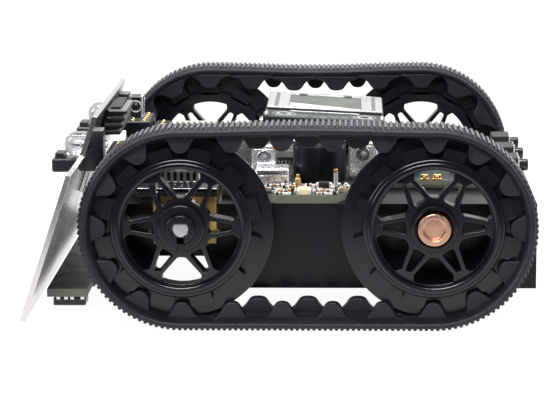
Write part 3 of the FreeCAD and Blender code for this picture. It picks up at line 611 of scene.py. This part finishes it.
def make_track(side, name):
    SLACK[0] = 0.42 if side > 0 else -0.55
    n_rib, b = 198, Build()
    pitch = LOOP / n_rib
    n = len(SECTION)
    verts, faces, mats = [], [], []
    samples = []
    for i in range(n_rib):
        for f, up in ((0.0, 0.0), (0.36, 0.0), (0.46, 1.0), (0.90, 1.0)):
            samples.append((pitch * (i + f), up))
    for s, up in samples:
        for y, d, rib in SECTION:
            dd = d + (0.34 * (1 - up) if rib else 0.0)
            x, z, a = on_track(s, dd)
            verts.append((x, y, z))
    m = len(samples)
    # the rib tops get the lighter copy of the rubber, a painted highlight
    body_slot, rib_lit_slot = b.slot("rubber"), b.slot("rubber_rib_lit")
    for i in range(m):
        j = (i + 1) % m
        for k in range(n):
            k2 = (k + 1) % n
            faces.append((i * n + k, i * n + k2, j * n + k2, j * n + k))
            mats.append(rib_lit_slot if SECTION[k][2] and SECTION[k2][2] and i % 4 == 2 else body_slot)
    b.v, b.f, b.m = verts, faces, mats
    for lo, hi, phase, half in ((44.95, 46.75, 0.0, LOBE), (40.6, 43.2, 0.5, LOBE_IN)):
        phase += 0.0 if side > 0 else 0.5
        outline = half + [(-h, q) for h, q in reversed(half[:-1])]
        for i in range(22):
            s = (i + phase) * 9.5
            x, z, a = on_track(s, 0.0)
            t, u = Vector((math.cos(a), 0, -math.sin(a))), Vector((-math.sin(a), 0, -math.cos(a)))
            at = Matrix(((t.x, u.x, 0, x), (0, 0, 1, 0), (t.z, u.z, 0, z), (0, 0, 0, 1)))
            b.prism(outline, lo, hi, "rubber", at, 0.3, 3)
    if side < 0:
        b.v = [(x, -y, z) for x, y, z in b.v]
    return b.piece(name + "_band", "chassis", [name], "track_rubber", angle=38, weighted=True)


for side, nm in ((1, "track_left"), (-1, "track_right")):
    make_track(side, nm)

# ================================================================================================
# sprockets, shafts and gearmotors
# ================================================================================================
def circle_loop(r, n=72):
    return [polar(r, 360.0 * i / n) for i in range(n)]


def slit_loop(r, slit=0.62, bore=1.52, flat=1.0, n=60):
    """Round hub outline, open at the bottom along the slit, with the D bore inside."""
    a0 = math.degrees(math.asin(slit / r))
    outer = [polar(r, 180 - a0 - (360 - 2 * a0) * i / n) for i in range(n + 1)]
    b0, top = math.degrees(math.asin(slit / bore)), math.degrees(math.acos(flat / bore))
    inner = [polar(bore, -180 + b0 + (180 - b0 - top) * i / 14) for i in range(15)] + [polar(bore, top + (180 - b0 - top) * i / 14) for i in range(15)]
    return outer + inner


def make_sprocket(name, sd, cx, drive):
    b = Build()
    at = Matrix(((1, 0, 0, cx), (0, 0, 1, 0), (0, 1, 0, AZ), (0, 0, 0, 1)))
    key = "sprocket"
    # thin centre disc that runs in the track's slot
    b.lathe([(13.0, 43.85), (17.22, 43.85), (17.36, 43.9), (17.4, 44.05), (17.4, 44.55), (17.36, 44.7), (17.22, 44.75), (13.0, 44.75)], at, key, 144, True)
    # rim, with a fine step on its face
    b.lathe([(11.25, 41.95), (11.25, 46.75), (11.29, 47.0), (11.4, 47.19), (11.62, 47.3), (12.28, 47.3), (12.45, 47.22), (12.52, 47.06), (12.62, 46.98), (12.86, 46.98),
             (13.12, 46.9), (13.32, 46.7), (13.4, 46.42), (13.4, 42.15), (13.2, 41.9), (11.45, 41.9)], at, key, 144, True)
    for i in range(12):
        for phase, lo, hi in ((15, 44.6, 46.7), (0, 41.9, 44.0)):
            a = phase + 30 * i
            pts = rounded([polar(13.1, a - 8.0), polar(13.1, a + 8.0), polar(14.7, a + 7.3), polar(15.12, a + 6.6), polar(15.12, a - 6.6), polar(14.7, a - 7.3)], [0.05, 0.05, 0.3, 0.35, 0.35, 0.3], 3)
            b.prism(pts[::-1], lo, hi, key, at, 0.26, 3)
    # arms: wide windows between them and a slim slot in each
    loops = [circle_loop(11.5, 96)]
    for i in range(6):
        m = 60 * i
        arc = [polar(10.95, m + 19.5 - 39.0 * k / 12) for k in range(13)]
        loops.append(rounded([polar(5.85, m + 7.5), polar(9.9, m + 22.2)] + arc + [polar(9.9, m - 22.2), polar(5.85, m - 7.5)], [0.9, 0.6] + [0.25] * 13 + [0.6, 0.9], 4))
        e, f = math.radians(m + 30), []
        for r, h in ((5.25, 1.22), (9.6, 0.5), (9.6, -0.5), (5.25, -1.22)):
            f.append((r * math.sin(e) + h * math.cos(e), r * math.cos(e) - h * math.sin(e)))
        loops.append(rounded(f, [0.5, 0.42, 0.42, 0.5], 4))
    if drive:
        loops.append(circle_loop(3.3, 40))
    else:
        loops.append(circle_loop(3.3, 40))
    b.plate(loops, 42.5, 45.7, key, at, 0.2, 2)
    b.lathe([(2.6, 37.0), (3.25, 37.0), (3.4, 37.15), (3.4, 42.8), (2.6, 42.8)], at, key, 48, True)
    if drive:
        b.lathe([(1.52, 37.0), (2.7, 37.0), (2.7, 42.8), (1.52, 42.8)], at, key, 48, True)
        b.plate([slit_loop(4.5)], 42.4, 46.9, key, at, 0.4, 3)
        b.plate([slit_loop(2.75)], 46.6, 48.3, key, at, 0.26, 3)
        ring = [(2.94, 46.86), (3.0, 46.98), (3.14, 46.98), (3.2, 46.86)]
        b.lathe(ring, at, key, 64, True)
    else:
        b.lathe([(2.56, 37.0), (2.7, 37.0), (2.7, 45.2), (2.56, 45.2)], at, key, 48, True)
        b.lathe([(2.56, 42.5), (4.3, 42.5), (4.3, 46.85), (4.22, 47.08), (4.05, 47.2), (3.78, 47.2), (3.6, 47.08), (3.5, 46.85), (3.5, 45.25), (2.56, 45.2)], at, key, 64, True)
    if sd == "right":
        b.v = [(x, -y, z) for x, y, z in b.v]
    b.piece(name + "_" + sd + "_fine", sd + ("_drive" if drive else "_idler"), [name + "_" + sd], "sprocket_black", angle=32, weighted=True)


for sd in ("left", "right"):
    make_sprocket("drive_sprocket", sd, XD, True)
    make_sprocket("idler_sprocket", sd, XI, False)
    from_cad("output_shaft_" + sd, "shaft", bevel=0.12)
    from_cad("output_gear_" + sd, "brass", bevel=0.05)
    from_cad("motor_can_" + sd, "can", bevel=0.35, segments=3)
    from_cad("motor_end_cap_" + sd, "abs", bevel=0.12)
    from_cad("gearbox_" + sd, "brass", bevel=0.06)

b = Build()
b.box(XM + 17.4, XM + 33.0, 28.0, 36.95, AZ + 5.05, AZ + 5.8, "abs", 0.12)
# dark olive band on the clip's front: board-edge green with painted shade
b.box(XM + 17.4, XM + 33.0, 36.62, 36.95, AZ + 4.2, AZ + 5.3, "edge_green_shaded", 0.12)
# bright tinned strip along the top front edge of the clip: a painted highlight line
b.box(XM + 17.5, XM + 32.9, 36.60, 36.9, AZ + 5.62, AZ + 5.82, "silver", 0.06)
b.mirrored().piece("motor_clips_fine", "chassis", ["motor_clips"])
b = Build()
b.box(XM + 21.25, XM + 29.35, 28.25, 30.95, AZ + 5.85, AZ + 8.45, "ivory", 0.16)
for i in range(6):
    x = XM + 22.2 + 1.25 * i
    b.box(x - 0.32, x + 0.32, 30.9, 31.02, AZ + 6.2, AZ + 8.0, "header", 0.05)
    b.box(x - 0.25, x + 0.25, 30.6, 31.3, AZ + 5.8, AZ + 6.1, "silver", 0.06)
b.mirrored().piece("motor_connectors_fine", "chassis", ["motor_connectors"])
from_cad("idler_bolts", "copper", bevel=0.22, segments=3)
from_cad("idler_washers", "steel", bevel=0.08)
from_cad("idler_nuts", "steel", bevel=0.1)

# ================================================================================================
# moulded chassis and battery bay
# ================================================================================================
from_cad("chassis_shell", "abs", bevel=0.28, segments=3)
from_cad("battery_cover", "abs", bevel=0.18)
from_cad("battery_cells", "cell", bevel=0.3)
from_cad("battery_contacts", "nickel", bevel=0.05)

# ================================================================================================
# main board and what is soldered to it
# ================================================================================================
from_cad("main_board", "pcb", bevel=0.04, segments=1, edge_key="fr4")


def smd(b, x, y, l, w, h, key, turn=0.0, z=BT):
    """A chip part: body between two tinned ends."""
    at = Matrix.Translation((x, y, z)) @ Matrix.Rotation(math.radians(turn), 4, "Z")
    b.box(-l / 2 + 0.28, l / 2 - 0.28, -w / 2, w / 2, 0.03, h, key, 0.04, at)
    b.box(-l / 2, -l / 2 + 0.32, -w / 2 - 0.02, w / 2 + 0.02, 0.0, h + 0.02, "silver", 0.06, at)
    b.box(l / 2 - 0.32, l / 2, -w / 2 - 0.02, w / 2 + 0.02, 0.0, h + 0.02, "silver", 0.06, at)


def chip(b, x, y, lx, ly, h, pins, turn=0.0, key="chip"):
    at = Matrix.Translation((x, y, BT)) @ Matrix.Rotation(math.radians(turn), 4, "Z")
    b.box(-lx / 2, lx / 2, -ly / 2, ly / 2, 0.12, h, key, 0.1, at)
    b.cyl(0.28, h - 0.02, h + 0.015, at @ Matrix.Translation((-lx / 2 + 0.8, -ly / 2 + 0.8, 0)), "grey", 0.01, 16)
    step = (lx - 0.8) / max(1, pins - 1)
    for i in range(pins):
        px = -lx / 2 + 0.4 + i * step
        for s in (-1, 1):
            y0, y1 = (ly / 2, ly / 2 + 0.42) if s > 0 else (-ly / 2 - 0.42, -ly / 2)
            b.box(px - 0.11, px + 0.11, y0 - 0.02, y1, 0.32, 0.46, "silver", 0.02, at)
            y2, y3 = (ly / 2 + 0.36, ly / 2 + 0.95) if s > 0 else (-ly / 2 - 0.95, -ly / 2 - 0.36)
            b.box(px - 0.11, px + 0.11, y2, y3, 0.0, 0.13, "silver", 0.02, at)
            y4, y5 = (ly / 2 + 0.34, ly / 2 + 0.48) if s > 0 else (-ly / 2 - 0.48, -ly / 2 - 0.34)
            b.box(px - 0.11, px + 0.11, y4, y5, 0.0, 0.46, "silver", 0.02, at)


b = Build()
caps = [(8.4, 31.6, 0), (5.4, 33.8, 10), (-2.8, 33.6, 0), (-4.6, 30.0, 90), (1.4, 31.4, 90), (10.8, 29.6, 35), (14.2, 27.4, 0), (-9.2, 25.0, 90),
        (3.4, 29.6, 0), (-6.4, 32.2, 0), (12.4, 26.0, 90), (6.8, 28.4, 0)]
for dx, y, t in caps:
    smd(b, XM + dx, y, 1.5, 0.8, 0.8, "tan", t)
b.mirrored().piece("capacitors_fine", "chassis", ["chip_capacitors"], "capacitor_tan")

b = Build()
for i, (dx, y, t) in enumerate([(3.2, 31.0, 0), (-0.6, 30.6, 90), (6.0, 30.6, 90), (-3.0, 31.6, 0), (9.2, 27.8, 0), (-7.0, 27.4, 90), (11.6, 31.0, 0),
                                (1.2, 28.8, 0), (-1.6, 28.2, 0), (4.6, 27.2, 90), (7.6, 33.4, 0), (-4.9, 34.6, 0)]):
    smd(b, XM + dx, y, 1.6, 0.8, 0.5, "chip", t)
b.mirrored().piece("resistors_fine", "chassis", ["chip_resistors"])

# the bright block on the edge tab, and the switch-like part behind it
b = Build()
b.box(XM - 0.5, XM + 2.2, 34.0, 35.7, BT, BT + 1.25, "cream", 0.12)
b.box(XM - 0.55, XM + 0.1, 33.9, 35.75, BT, BT + 1.05, "silver", 0.08)
b.box(XM + 1.6, XM + 2.25, 33.9, 35.75, BT, BT + 1.05, "silver", 0.08)
b.box(XM - 3.9, XM - 1.9, 28.6, 30.2, BT, BT + 1.5, "chip", 0.1)
b.box(XM - 4.4, XM - 3.9, 28.8, 30.0, BT, BT + 1.3, "white", 0.08)
b.box(XM - 1.9, XM - 1.4, 28.8, 30.0, BT, BT + 1.3, "white", 0.08)
b.cyl(0.62, 0.0, 1.9, upright(XM + 2.2, 27.4, BT), "gold", 0.1, 20)
b.cyl(0.34, 1.85, 2.6, upright(XM + 2.2, 27.4, BT), "gold", 0.08, 16)
b.box(XM - 5.6, XM - 4.8, 26.6, 27.5, BT, BT + 2.9, "white", 0.1)
b.box(XM - 5.6, XM - 4.8, 26.6, 27.5, BT + 2.9, BT + 3.6, "gold", 0.08)
b.mirrored()
for i in range(2):
    x = XM - 22.7 - 2.54 * i
    b.box(x - 0.95, x + 0.95, 18.4, 19.8, BT, BT + 0.35, "gold", 0.08)
    b.box(x - 0.8, x + 0.8, 18.55, 19.1, BT + 0.3, BT + 1.1, "gold", 0.16)
    b.box(x - 0.3, x + 0.3, 19.0, 19.75, BT + 0.3, BT + 0.8, "tan", 0.1)
b.piece("tab_connectors_fine", "chassis", ["tab_connectors"], "gold_contact")

# fine parts round the edge tab
rng = random.Random(11)
b = Build()
taken = [(XM + 0.9, 34.8, 2.2, 1.2), (XM - 2.9, 29.4, 1.9, 1.2), (XM + 2.2, 27.4, 0.9, 0.9), (XM - 5.2, 27.0, 0.8, 0.8), (XM + 4.2, 35.0, 1.1, 0.7), (XM - 3.8, 35.0, 1.1, 0.7)]
taken += [(XM + dx, y, 1.2, 1.0) for dx, y, t in caps]
tries = 0
while len(taken) < 92 and tries < 4000:
    tries += 1
    x, y = XM + rng.uniform(-9.0, 11.5), rng.uniform(25.4, 35.5)
    if abs(x - XM - 1.1) > 5.6 and y > 32.4:
        continue
    turn = rng.choice((0, 0, 90))
    hx, hy = (0.62, 0.36) if turn == 0 else (0.36, 0.62)
    if any(abs(x - a) < hx + c and abs(y - d) < hy + e for a, d, c, e in taken):
        continue
    taken.append((x, y, hx + 0.08, hy + 0.08))
    kind = rng.random()
    if kind < 0.34:
        smd(b, x, y, 1.1, 0.6, rng.uniform(0.35, 0.6), "chip", turn)
    elif kind < 0.58:
        smd(b, x, y, 1.1, 0.6, rng.uniform(0.4, 0.65), "tan", turn)
    elif kind < 0.72:
        smd(b, x, y, 1.1, 0.6, rng.uniform(0.35, 0.5), "white", turn)
    else:
        b.lathe([(0.2, 0.0), (0.42, 0.0), (0.42, 0.05), (0.2, 0.08)], upright(x, y, BT), "gold", 20, True)
        b.box(x - 0.14, x + 0.14, y - 0.14, y + 0.14, BT, BT + rng.uniform(0.3, 0.9), "gold", 0.05)
b.piece("tab_small_parts", "chassis")

b = Build()
for dx in (4.2, -3.8):
    b.box(XM + dx - 0.8, XM + dx + 0.8, 34.65, 35.45, BT, BT + 0.42, "white", 0.06)
    b.box(XM + dx - 0.5, XM + dx + 0.5, 34.72, 35.38, BT + 0.42, BT + 0.78, "clear", 0.1)
b.mirrored().piece("status_lights_fine", "chassis", ["status_lights"])

b = Build()
chip(b, XM + 6.5, -5.0, 9.0, 7.4, 1.0, 12)
chip(b, XM - 5.1, -23.4, 5.0, 4.8, 1.1, 8)
chip(b, XM - 21.2, -4.5, 5.0, 3.9, 1.1, 8)
chip(b, XM + 23.0, 0.0, 5.0, 4.4, 1.1, 8, 90)
chip(b, XM - 12.0, 8.0, 4.4, 3.4, 1.0, 7)
chip(b, XM + 12.5, 10.0, 4.0, 3.4, 1.0, 6, 90)
b.piece("driver_chips_fine", "chassis", ["driver_chips"])

# sounder
b = Build()
at = upright(XM - 1.9, 19.5, BT)
b.lathe([(4.9, 0.0), (5.1, 0.15), (5.1, 0.9), (5.25, 1.05), (5.25, 7.1), (5.12, 7.5), (4.8, 7.68), (1.25, 7.68), (1.05, 7.5), (1.0, 6.6), (0.0, 6.6)], at, "sounder", 64)
b.lathe([(4.72, 7.66), (4.6, 8.05), (4.45, 8.1), (1.6, 8.1), (1.5, 7.66)], at, "sounder", 64, True)
b.piece("buzzer_fine", "chassis", ["buzzer"], "component_black")

# screened socket: bright shell, rolled edges, one slim slot in its side
b = Build()
x0, x1, y0, y1 = XM + 4.0, XM + 10.6, 20.6, 26.2
b.box(x0, x1, y0, y1 - 0.1, BT, BT + 3.45, "silver", 0.32)
b.box(x0 + 0.35, x1 - 0.35, y1 - 0.2, y1, BT + 0.3, BT + 2.1, "silver", 0.1)
b.box(x0 + 1.5, x1 - 1.7, y1 - 0.16, y1 - 0.02, BT + 2.45, BT + 2.75, "header", 0.06)
b.box(x0 + 0.2, x0 + 1.0, y1 - 0.25, y1, BT + 0.1, BT + 1.2, "steel", 0.08)
b.box(x1 - 1.0, x1 - 0.2, y1 - 0.25, y1, BT + 0.1, BT + 1.2, "steel", 0.08)
b.box(x0 + 2.0, x0 + 4.4, y1 - 3.6, y1 - 2.6, BT + 3.4, BT + 3.5, "grey", 0.04)
for dx in (1.2, 5.0):
    b.box(x0 + dx, x0 + dx + 0.5, y1 - 2.8, y1 - 1.2, BT + 3.4, BT + 3.5, "steel", 0.05)
b.piece("usb_connector_fine", "chassis", ["usb_connector"], "silver_metal")

b = Build()
for x0, x1, y0, y1, h in ((XM - 13.4, XM - 7.6, 15.6, 19.0, 7.6), (XM + 6.6, XM + 11.6, 15.6, 19.4, 7.0)):
    b.box(x0, x1, y0, y1, BT + 0.3, BT + h, "silver", 0.3)
    b.box(x0 + 0.5, x1 - 0.5, y1 - 0.05, y1 + 0.12, BT + h - 4.2, BT + h - 0.8, "silver", 0.06)
    b.lathe([(1.25, 0.0), (1.4, 0.15), (1.3, 0.3), (1.0, 0.3), (0.85, 0.1), (0.0, 0.06)], along_y((x0 + x1) / 2, y1 + 0.05, BT + h - 2.4), "steel", 36)
    b.lathe([(0.0, 0.42), (0.35, 0.36), (0.6, 0.15), (0.65, 0.0)], along_y((x0 + x1) / 2 - 0.2, y1 + 0.08, BT + h - 2.4), "grey", 24)
    b.box(x0 + 0.2, x0 + 1.2, y1 - 0.6, y1 + 0.1, BT + h - 1.2, BT + h - 0.2, "tan", 0.15)
    for k in (-1.6, 0.0, 1.6):
        b.box((x0 + x1) / 2 + k - 0.22, (x0 + x1) / 2 + k + 0.22, y1 - 0.8, y1 - 0.3, BT, BT + 0.5, "silver", 0.05)
    b.box(x0 - 0.25, x0 + 0.1, y0 + 0.6, y1 - 0.6, BT, BT + 2.4, "silver", 0.08)
    b.box(x1 - 0.1, x1 + 0.25, y0 + 0.6, y1 - 0.6, BT, BT + 2.4, "silver", 0.08)
b.mirrored().piece("side_sensors_fine", "chassis", ["side_sensors"], "silver_metal")


def socket_row(b, x0, x1, y0, y1, h, along="y", gold=True):
    """A moulded header: one block per way, a contact in each."""
    n = max(1, int(round((y1 - y0) / 2.54)))
    step = (y1 - y0) / n
    for i in range(n):
        a, c = y0 + i * step, y0 + (i + 1) * step
        b.box(x0, x1, a + 0.03, c - 0.03, BT, BT + h, "header", 0.22)
        mid = (a + c) / 2
        for xx in ([(x0 + x1) / 2] if x1 - x0 < 4 else [x0 + 1.35, x1 - 1.35]):
            b.box(xx - 0.32, xx + 0.32, mid - 0.32, mid + 0.32, BT + h - 0.3, BT + h + 0.25, "gold", 0.08)


b = Build()
socket_row(b, XM + 34.6, XM + 39.9, 12.6, 25.2, 30.5 - BT)
socket_row(b, XM + 31.0, XM + 34.3, 13.0, 25.0, 5.2)
b.mirrored().piece("pin_headers_fine", "chassis", ["pin_headers"], "header_black")

# front receiver: a dark cube with a bright frame and a round eye
b = Build()
b.box(XM + 36.75, XM + 39.65, -22.15, -18.25, 30.5, 35.1, "header", 0.25)
for y0, y1, z0, z1 in ((-22.2, -18.2, 34.75, 35.2), (-22.2, -18.2, 30.5, 30.9), (-22.2, -21.8, 30.7, 35.0), (-18.6, -18.2, 30.7, 35.0)):
    b.box(XM + 39.2, XM + 39.75, y0, y1, z0, z1, "grey", 0.12)
    b.box(XM + 36.65, XM + 37.2, y0, y1, z0, z1, "silver", 0.12)
ring = [(1.25, 0.0), (1.35, 0.22), (1.2, 0.34), (1.0, 0.3), (0.95, 0.0)]
eye = [(0.0, 0.3), (0.5, 0.25), (0.8, 0.1), (0.95, 0.0)]
b.lathe(ring, along_y(XM + 38.2, -18.3, 32.9), "silver", 36, True)
b.lathe(eye, along_y(XM + 38.2, -18.3, 32.9), "header", 28)
b.lathe(ring, along_x(XM + 39.55, -20.2, 32.9), "silver", 36, True)
b.lathe(eye, along_x(XM + 39.55, -20.2, 32.9), "header", 28)
b.piece("front_receivers_fine", "chassis", ["front_receivers"], "header_black")

# display
LX, LZ, LT = XM - 2.8, 36.4, math.radians(3.1)
D = Matrix(((math.cos(LT), 0, -math.sin(LT), LX), (0, 1, 0, 0), (math.sin(LT), 0, math.cos(LT), LZ), (0, 0, 0, 1)))
b = Build()
hole = [(1.05 * math.cos(a), 1.05 * math.sin(a)) for a in [2 * math.pi * k / 32 for k in range(32)]]
edge = rounded([(-11.9, -16.0), (11.9, -16.0), (11.9, 18.8), (-11.9, 18.8)], 1.0, 4)
holes = [[(hx + px, hy + py) for px, py in hole] for hx in (-8.1, 8.1) for hy in (-13.9, 14.0)]
b.plate([edge] + holes, -1.85, -0.55, "pcb", D, 0.08, 1)
for hx in (-8.1, 8.1):
    for hy in (-13.9, 14.0):
        at = D @ Matrix.Translation((hx, hy, -0.6))
        b.lathe([(1.0, 0.02), (1.0, 0.1), (1.55, 0.12), (1.6, 0.06), (1.6, 0.02)], at, "bezel", 40, True)
        b.lathe([(2.2, 0.02), (2.22, 0.07), (2.34, 0.08), (2.38, 0.02)], at, "bezel", 40, True)
# thin bright strip on the board just in front of the bezel: a painted highlight line
b.box(-7.0, 7.0, 10.2, 10.75, -0.6, -0.42, "bezel", 0.06, D)
for k in range(7):
    b.box(-6.2 + 2.0 * k - 0.5, -6.2 + 2.0 * k + 0.5, 16.2, 16.5, -0.6, -0.5, "grey", 0.03, D)
for e in (-1, 1):
    b.box(e * 11.55 - 0.55, e * 11.55 + 0.55, 13.2, 18.4, -2.9, -0.35, "header", 0.15, D)
    for k in (13.9, 15.4, 16.9):
        b.box(e * 11.55 - 0.25, e * 11.55 + 0.25, k - 0.25, k + 0.25, -0.45, -0.2, "silver", 0.06, D)
b.piece("display_board_fine", "chassis", ["display_board"])
b = Build()
bezel_edge = rounded([(-11.7, -11.8), (11.7, -11.8), (11.7, 8.9), (-11.7, 8.9)], 0.7, 4)
window = rounded([(-7.4, -10.2), (7.3, -10.2), (7.3, 7.9), (-7.4, 7.9)][::-1], 0.4, 4)
b.plate([bezel_edge, window], -0.5, 0.0, "bezel", D, 0.14, 3)
b.box(-11.6, 11.6, 8.5, 9.25, -0.6, -0.16, "header", 0.08, D)
for e in (-1, 1):
    # darker bezel strips between the window and the bezel's sides: painted shade
    b.box(e * 9.9 - 0.42, e * 9.9 + 0.42, -11.2, 8.3, -0.1, 0.02, "bezel_shaded", 0.04, D)
    # two black blocks across the window's far edge: painted dark reflections
    b.box(e * 4.7 - 0.85, e * 4.7 + 0.85, -10.9, -9.3, -0.1, 0.05, "header", 0.04, D)
# darker bezel strip along the window's far edge: painted shade
b.box(-7.2, 7.1, -10.2, -9.3, -0.3, -0.06, "bezel_shaded", 0.05, D)
b.piece("display_bezel_fine", "chassis", ["display_bezel"], "silver_metal")
b = Build()
b.box(-7.35, 7.25, -10.15, 7.85, -0.5, -0.14, "lcd", 0.04, D)
# light grey wedge with a diagonal edge over the glass: a painted reflection
b.prism([(7.2, 7.8), (-7.3, 7.8), (-7.3, 6.6), (7.2, 1.4)], -0.16, -0.1, "painted_glare", D, 0.01)
b.piece("display_window_fine", "chassis", ["display_window"], "display_glass")
b = Build()
for i in range(5):
    x = LX - 5.08 + i * 2.54
    b.box(x - 1.22, x + 1.22, -15.2, -12.8, BT, BT + 2.5, "header", 0.2)
    b.box(x - 0.32, x + 0.32, -14.32, -13.68, BT + 2.4, BT + 10.9 + (x - LX) * 0.05, "gold", 0.08)
    b.box(x - 1.22, x + 1.22, -15.2, -12.8, BT + 6.4, BT + 10.1, "header", 0.2)
b.piece("display_header_fine", "chassis", ["display_header"], "header_black")

# push buttons, slide switch, trimmer
b = Build()
RX = XM - 42.0
for y in (13.6, 0.0, -13.6):
    b.box(RX + 0.55, RX + 4.2, y - 3.0, y + 3.0, BT, BT + 4.0, "chip", 0.15)
    for y0, y1 in ((y - 3.1, y - 1.36), (y + 1.36, y + 3.1)):
        b.box(RX + 0.36, RX + 0.62, y0, y1, BT + 0.1, BT + 4.15, "silver", 0.08)
    b.box(RX + 0.36, RX + 0.62, y - 1.4, y + 1.4, BT + 3.45, BT + 4.15, "silver", 0.08)
    b.box(RX + 0.36, RX + 0.62, y - 1.4, y + 1.4, BT + 0.1, BT + 0.75, "silver", 0.08)
    for s in (-1, 1):
        b.box(RX + 1.4, RX + 3.4, y + s * 3.08 - 0.12, y + s * 3.08 + 0.12, BT, BT + 2.0, "silver", 0.06)
b.piece("button_bodies_fine", "chassis", ["button_bodies"])
for nm, y in (("button_left", 13.6), ("button_middle", 0.0), ("button_right", -13.6)):
    b = Build()
    b.lathe([(0.9, 0.0), (1.12, 0.08), (1.2, 0.3), (1.2, 3.3), (1.1, 3.4)], along_x(RX - 1.6, y, BT + 2.1), "button", 40)
    b.piece(nm + "_fine", nm, [nm], "button_black")
from_cad("power_switch_body", "silver", bevel=0.14)
b = Build()
b.box(XM - 27.0, XM - 25.4, -18.1, -15.5, BT + 2.1, BT + 5.4, "button", 0.18)
for i in range(4):
    b.box(XM - 26.9, XM - 25.5, -17.85 + i * 0.6, -17.6 + i * 0.6, BT + 5.3, BT + 5.52, "button", 0.06)
b.piece("power_slider_fine", "power_slider", ["power_switch_slider"])
from_cad("trimmer_body", "blue", bevel=0.14)
from_cad("trimmer_rotor", "nickel", bevel=0.08)
from_cad("board_screws", "steel", bevel=0.18)

# ================================================================================================
# blade, lamps and what sits behind it
# ================================================================================================
TILT = math.radians(18.53)
BLADE = Matrix(((0, -math.sin(TILT), math.cos(TILT), XM + 54.2 - math.cos(TILT)), (1, 0, 0, 0), (0, math.cos(TILT), math.sin(TILT), 1.7), (0, 0, 0, 1)))
from_cad("scoop_blade", "stainless", bevel=0.12, segments=2)
from_cad("blade_screws", "steel", bevel=0.25, segments=3)
from_cad("blade_brackets", "silver", bevel=0.2)

LZ = 31.1
b = Build()
at = along_x(XM + 41.0, 20.0, LZ)
dome = [(2.5 * math.cos(t), 5.3 + 2.45 * math.sin(t)) for t in [math.pi / 2 * k / 12 for k in range(1, 12)]]
b.lathe([(0.0, 0.0), (2.75, 0.0), (2.85, 0.1), (2.85, 0.7), (2.75, 0.8), (2.5, 0.85), (2.5, 5.3)] + dome + [(0.0, 7.75)], at, "clear", 48)
b.mirrored().piece("infrared_leds_fine", "chassis", ["infrared_leds"], "clear_lens", angle=50)
# bent leads behind each lamp, with the bright cup inside it
b = Build()
for k in (-1.27, 1.27):
    b.tube([(XM + 44.6, 20 + k * 0.55, LZ), (XM + 42.6, 20 + k * 0.8, LZ), (XM + 41.0, 20 + k, LZ), (XM + 40.35, 20 + k, LZ - 0.15), (XM + 40.15, 20 + k, LZ - 0.6), (XM + 40.12, 20 + k, 30.6)], 0.22, "silver")
b.box(XM + 44.2, XM + 45.6, 19.1, 19.9, LZ - 0.55, LZ + 0.55, "silver", 0.2)
b.box(XM + 44.6, XM + 45.3, 20.2, 20.8, LZ - 0.35, LZ + 0.35, "silver", 0.1)
b.mirrored().piece("infrared_lamp_leads", "chassis")

b = Build()
b.box(XM + 46.0, XM + 51.1, 17.55, 22.45, 25.75, 28.45, "header", 0.3)
b.box(XM + 48.5, XM + 50.5, 18.2, 21.8, 28.3, 29.6, "header", 0.2)
b.box(XM + 46.6, XM + 48.1, 18.0, 22.0, 28.35, 28.7, "block_top", 0.12)
for y in (18.7, 20.0, 21.3):
    b.box(XM + 50.9, XM + 51.2, y - 0.3, y + 0.3, 26.3, 26.9, "silver", 0.08)
b.mirrored().piece("led_holders_fine", "chassis", ["led_holders"])

b = Build()
b.prism([(XM + 40.25, 26.85), (XM + 45.5, 26.85), (XM + 42.85, 34.7), (XM + 40.25, 34.7)], -27.45, -23.35, "header", Matrix(((1, 0, 0, 0), (0, 0, -1, 0), (0, 1, 0, 0), (0, 0, 0, 1))), 0.25, 2)
b.box(XM + 40.3, XM + 42.7, 23.4, 27.4, 34.65, 34.95, "block_top", 0.12)
b.box(XM + 40.1, XM + 40.4, 24.0, 26.8, 28.4, 33.4, "grey", 0.1)
b.mirrored().piece("blade_blocks_fine", "chassis", ["blade_blocks"])

# ribbed connector in the middle, behind the blade: level fins stepped along its slope
def blade_back(z):
    return XM + 53.25 - (z - 1.7) * math.tan(TILT)


b = Build()
b.box(-7.5, 7.5, 31.2, 36.4, -2.0, -0.1, "header", 0.15, BLADE)
for i in range(4):
    z = 30.95 + 1.40 * i
    x = blade_back(z + 0.9)
    b.box(x - 4.3, x - 0.5, -7.0, 8.0, z, z + 0.80, "header", 0.2)
    b.box(x - 4.1, x - 0.9, -6.8, 7.8, z + 0.75, z + 0.86, "block_top", 0.04)
    b.box(x - 2.9, x - 0.9, -6.8, 7.0, z + 0.80, z + 1.45, "chip", 0.05)
b.piece("edge_connector_fine", "chassis", ["edge_connector"], "header_black")

# ================================================================================================
# line sensor board
# ================================================================================================
from_cad("sensor_array_board", "pcb", bevel=0.04, segments=1, edge_key="fr4")
b = Build()
for y in (-32.2, -16.0, 0.0, 16.0, 32.2):
    b.box(XM + 43.45, XM + 49.75, y - 2.35, y + 2.35, 1.6, 3.1, "header", 0.14)
    for k in (43.7, 45.7, 46.9, 48.4):
        for e in (-1, 1):
            b.box(XM + k, XM + k + 0.75, y + e * 2.2 - 0.18, y + e * 2.2 + 0.18, 2.75, 3.38, "silver", 0.06)
    for k in (45.2, 48.0):
        b.cyl(0.8, -0.04, 0.12, Matrix.Translation((XM + k, y, 1.6)), "clear", 0.03, 24)
b.piece("line_sensors_fine", "chassis", ["line_sensors"])
b = Build()
for i in range(3):
    y = 13.4 + 2.45 * i
    b.box(XM + 39.6, XM + 43.2, y - 1.15, y + 1.2, 5.02, 13.4, "header", 0.2)
    b.box(XM + 40.0, XM + 42.8, y - 1.1, y + 1.15, 13.5, 22.0, "header", 0.2)
    b.box(XM + 41.1, XM + 41.7, y - 0.3, y + 0.3, 13.0, 14.0, "gold", 0.06)
b.mirrored()
b.piece("array_headers_fine", "chassis", ["array_headers"])
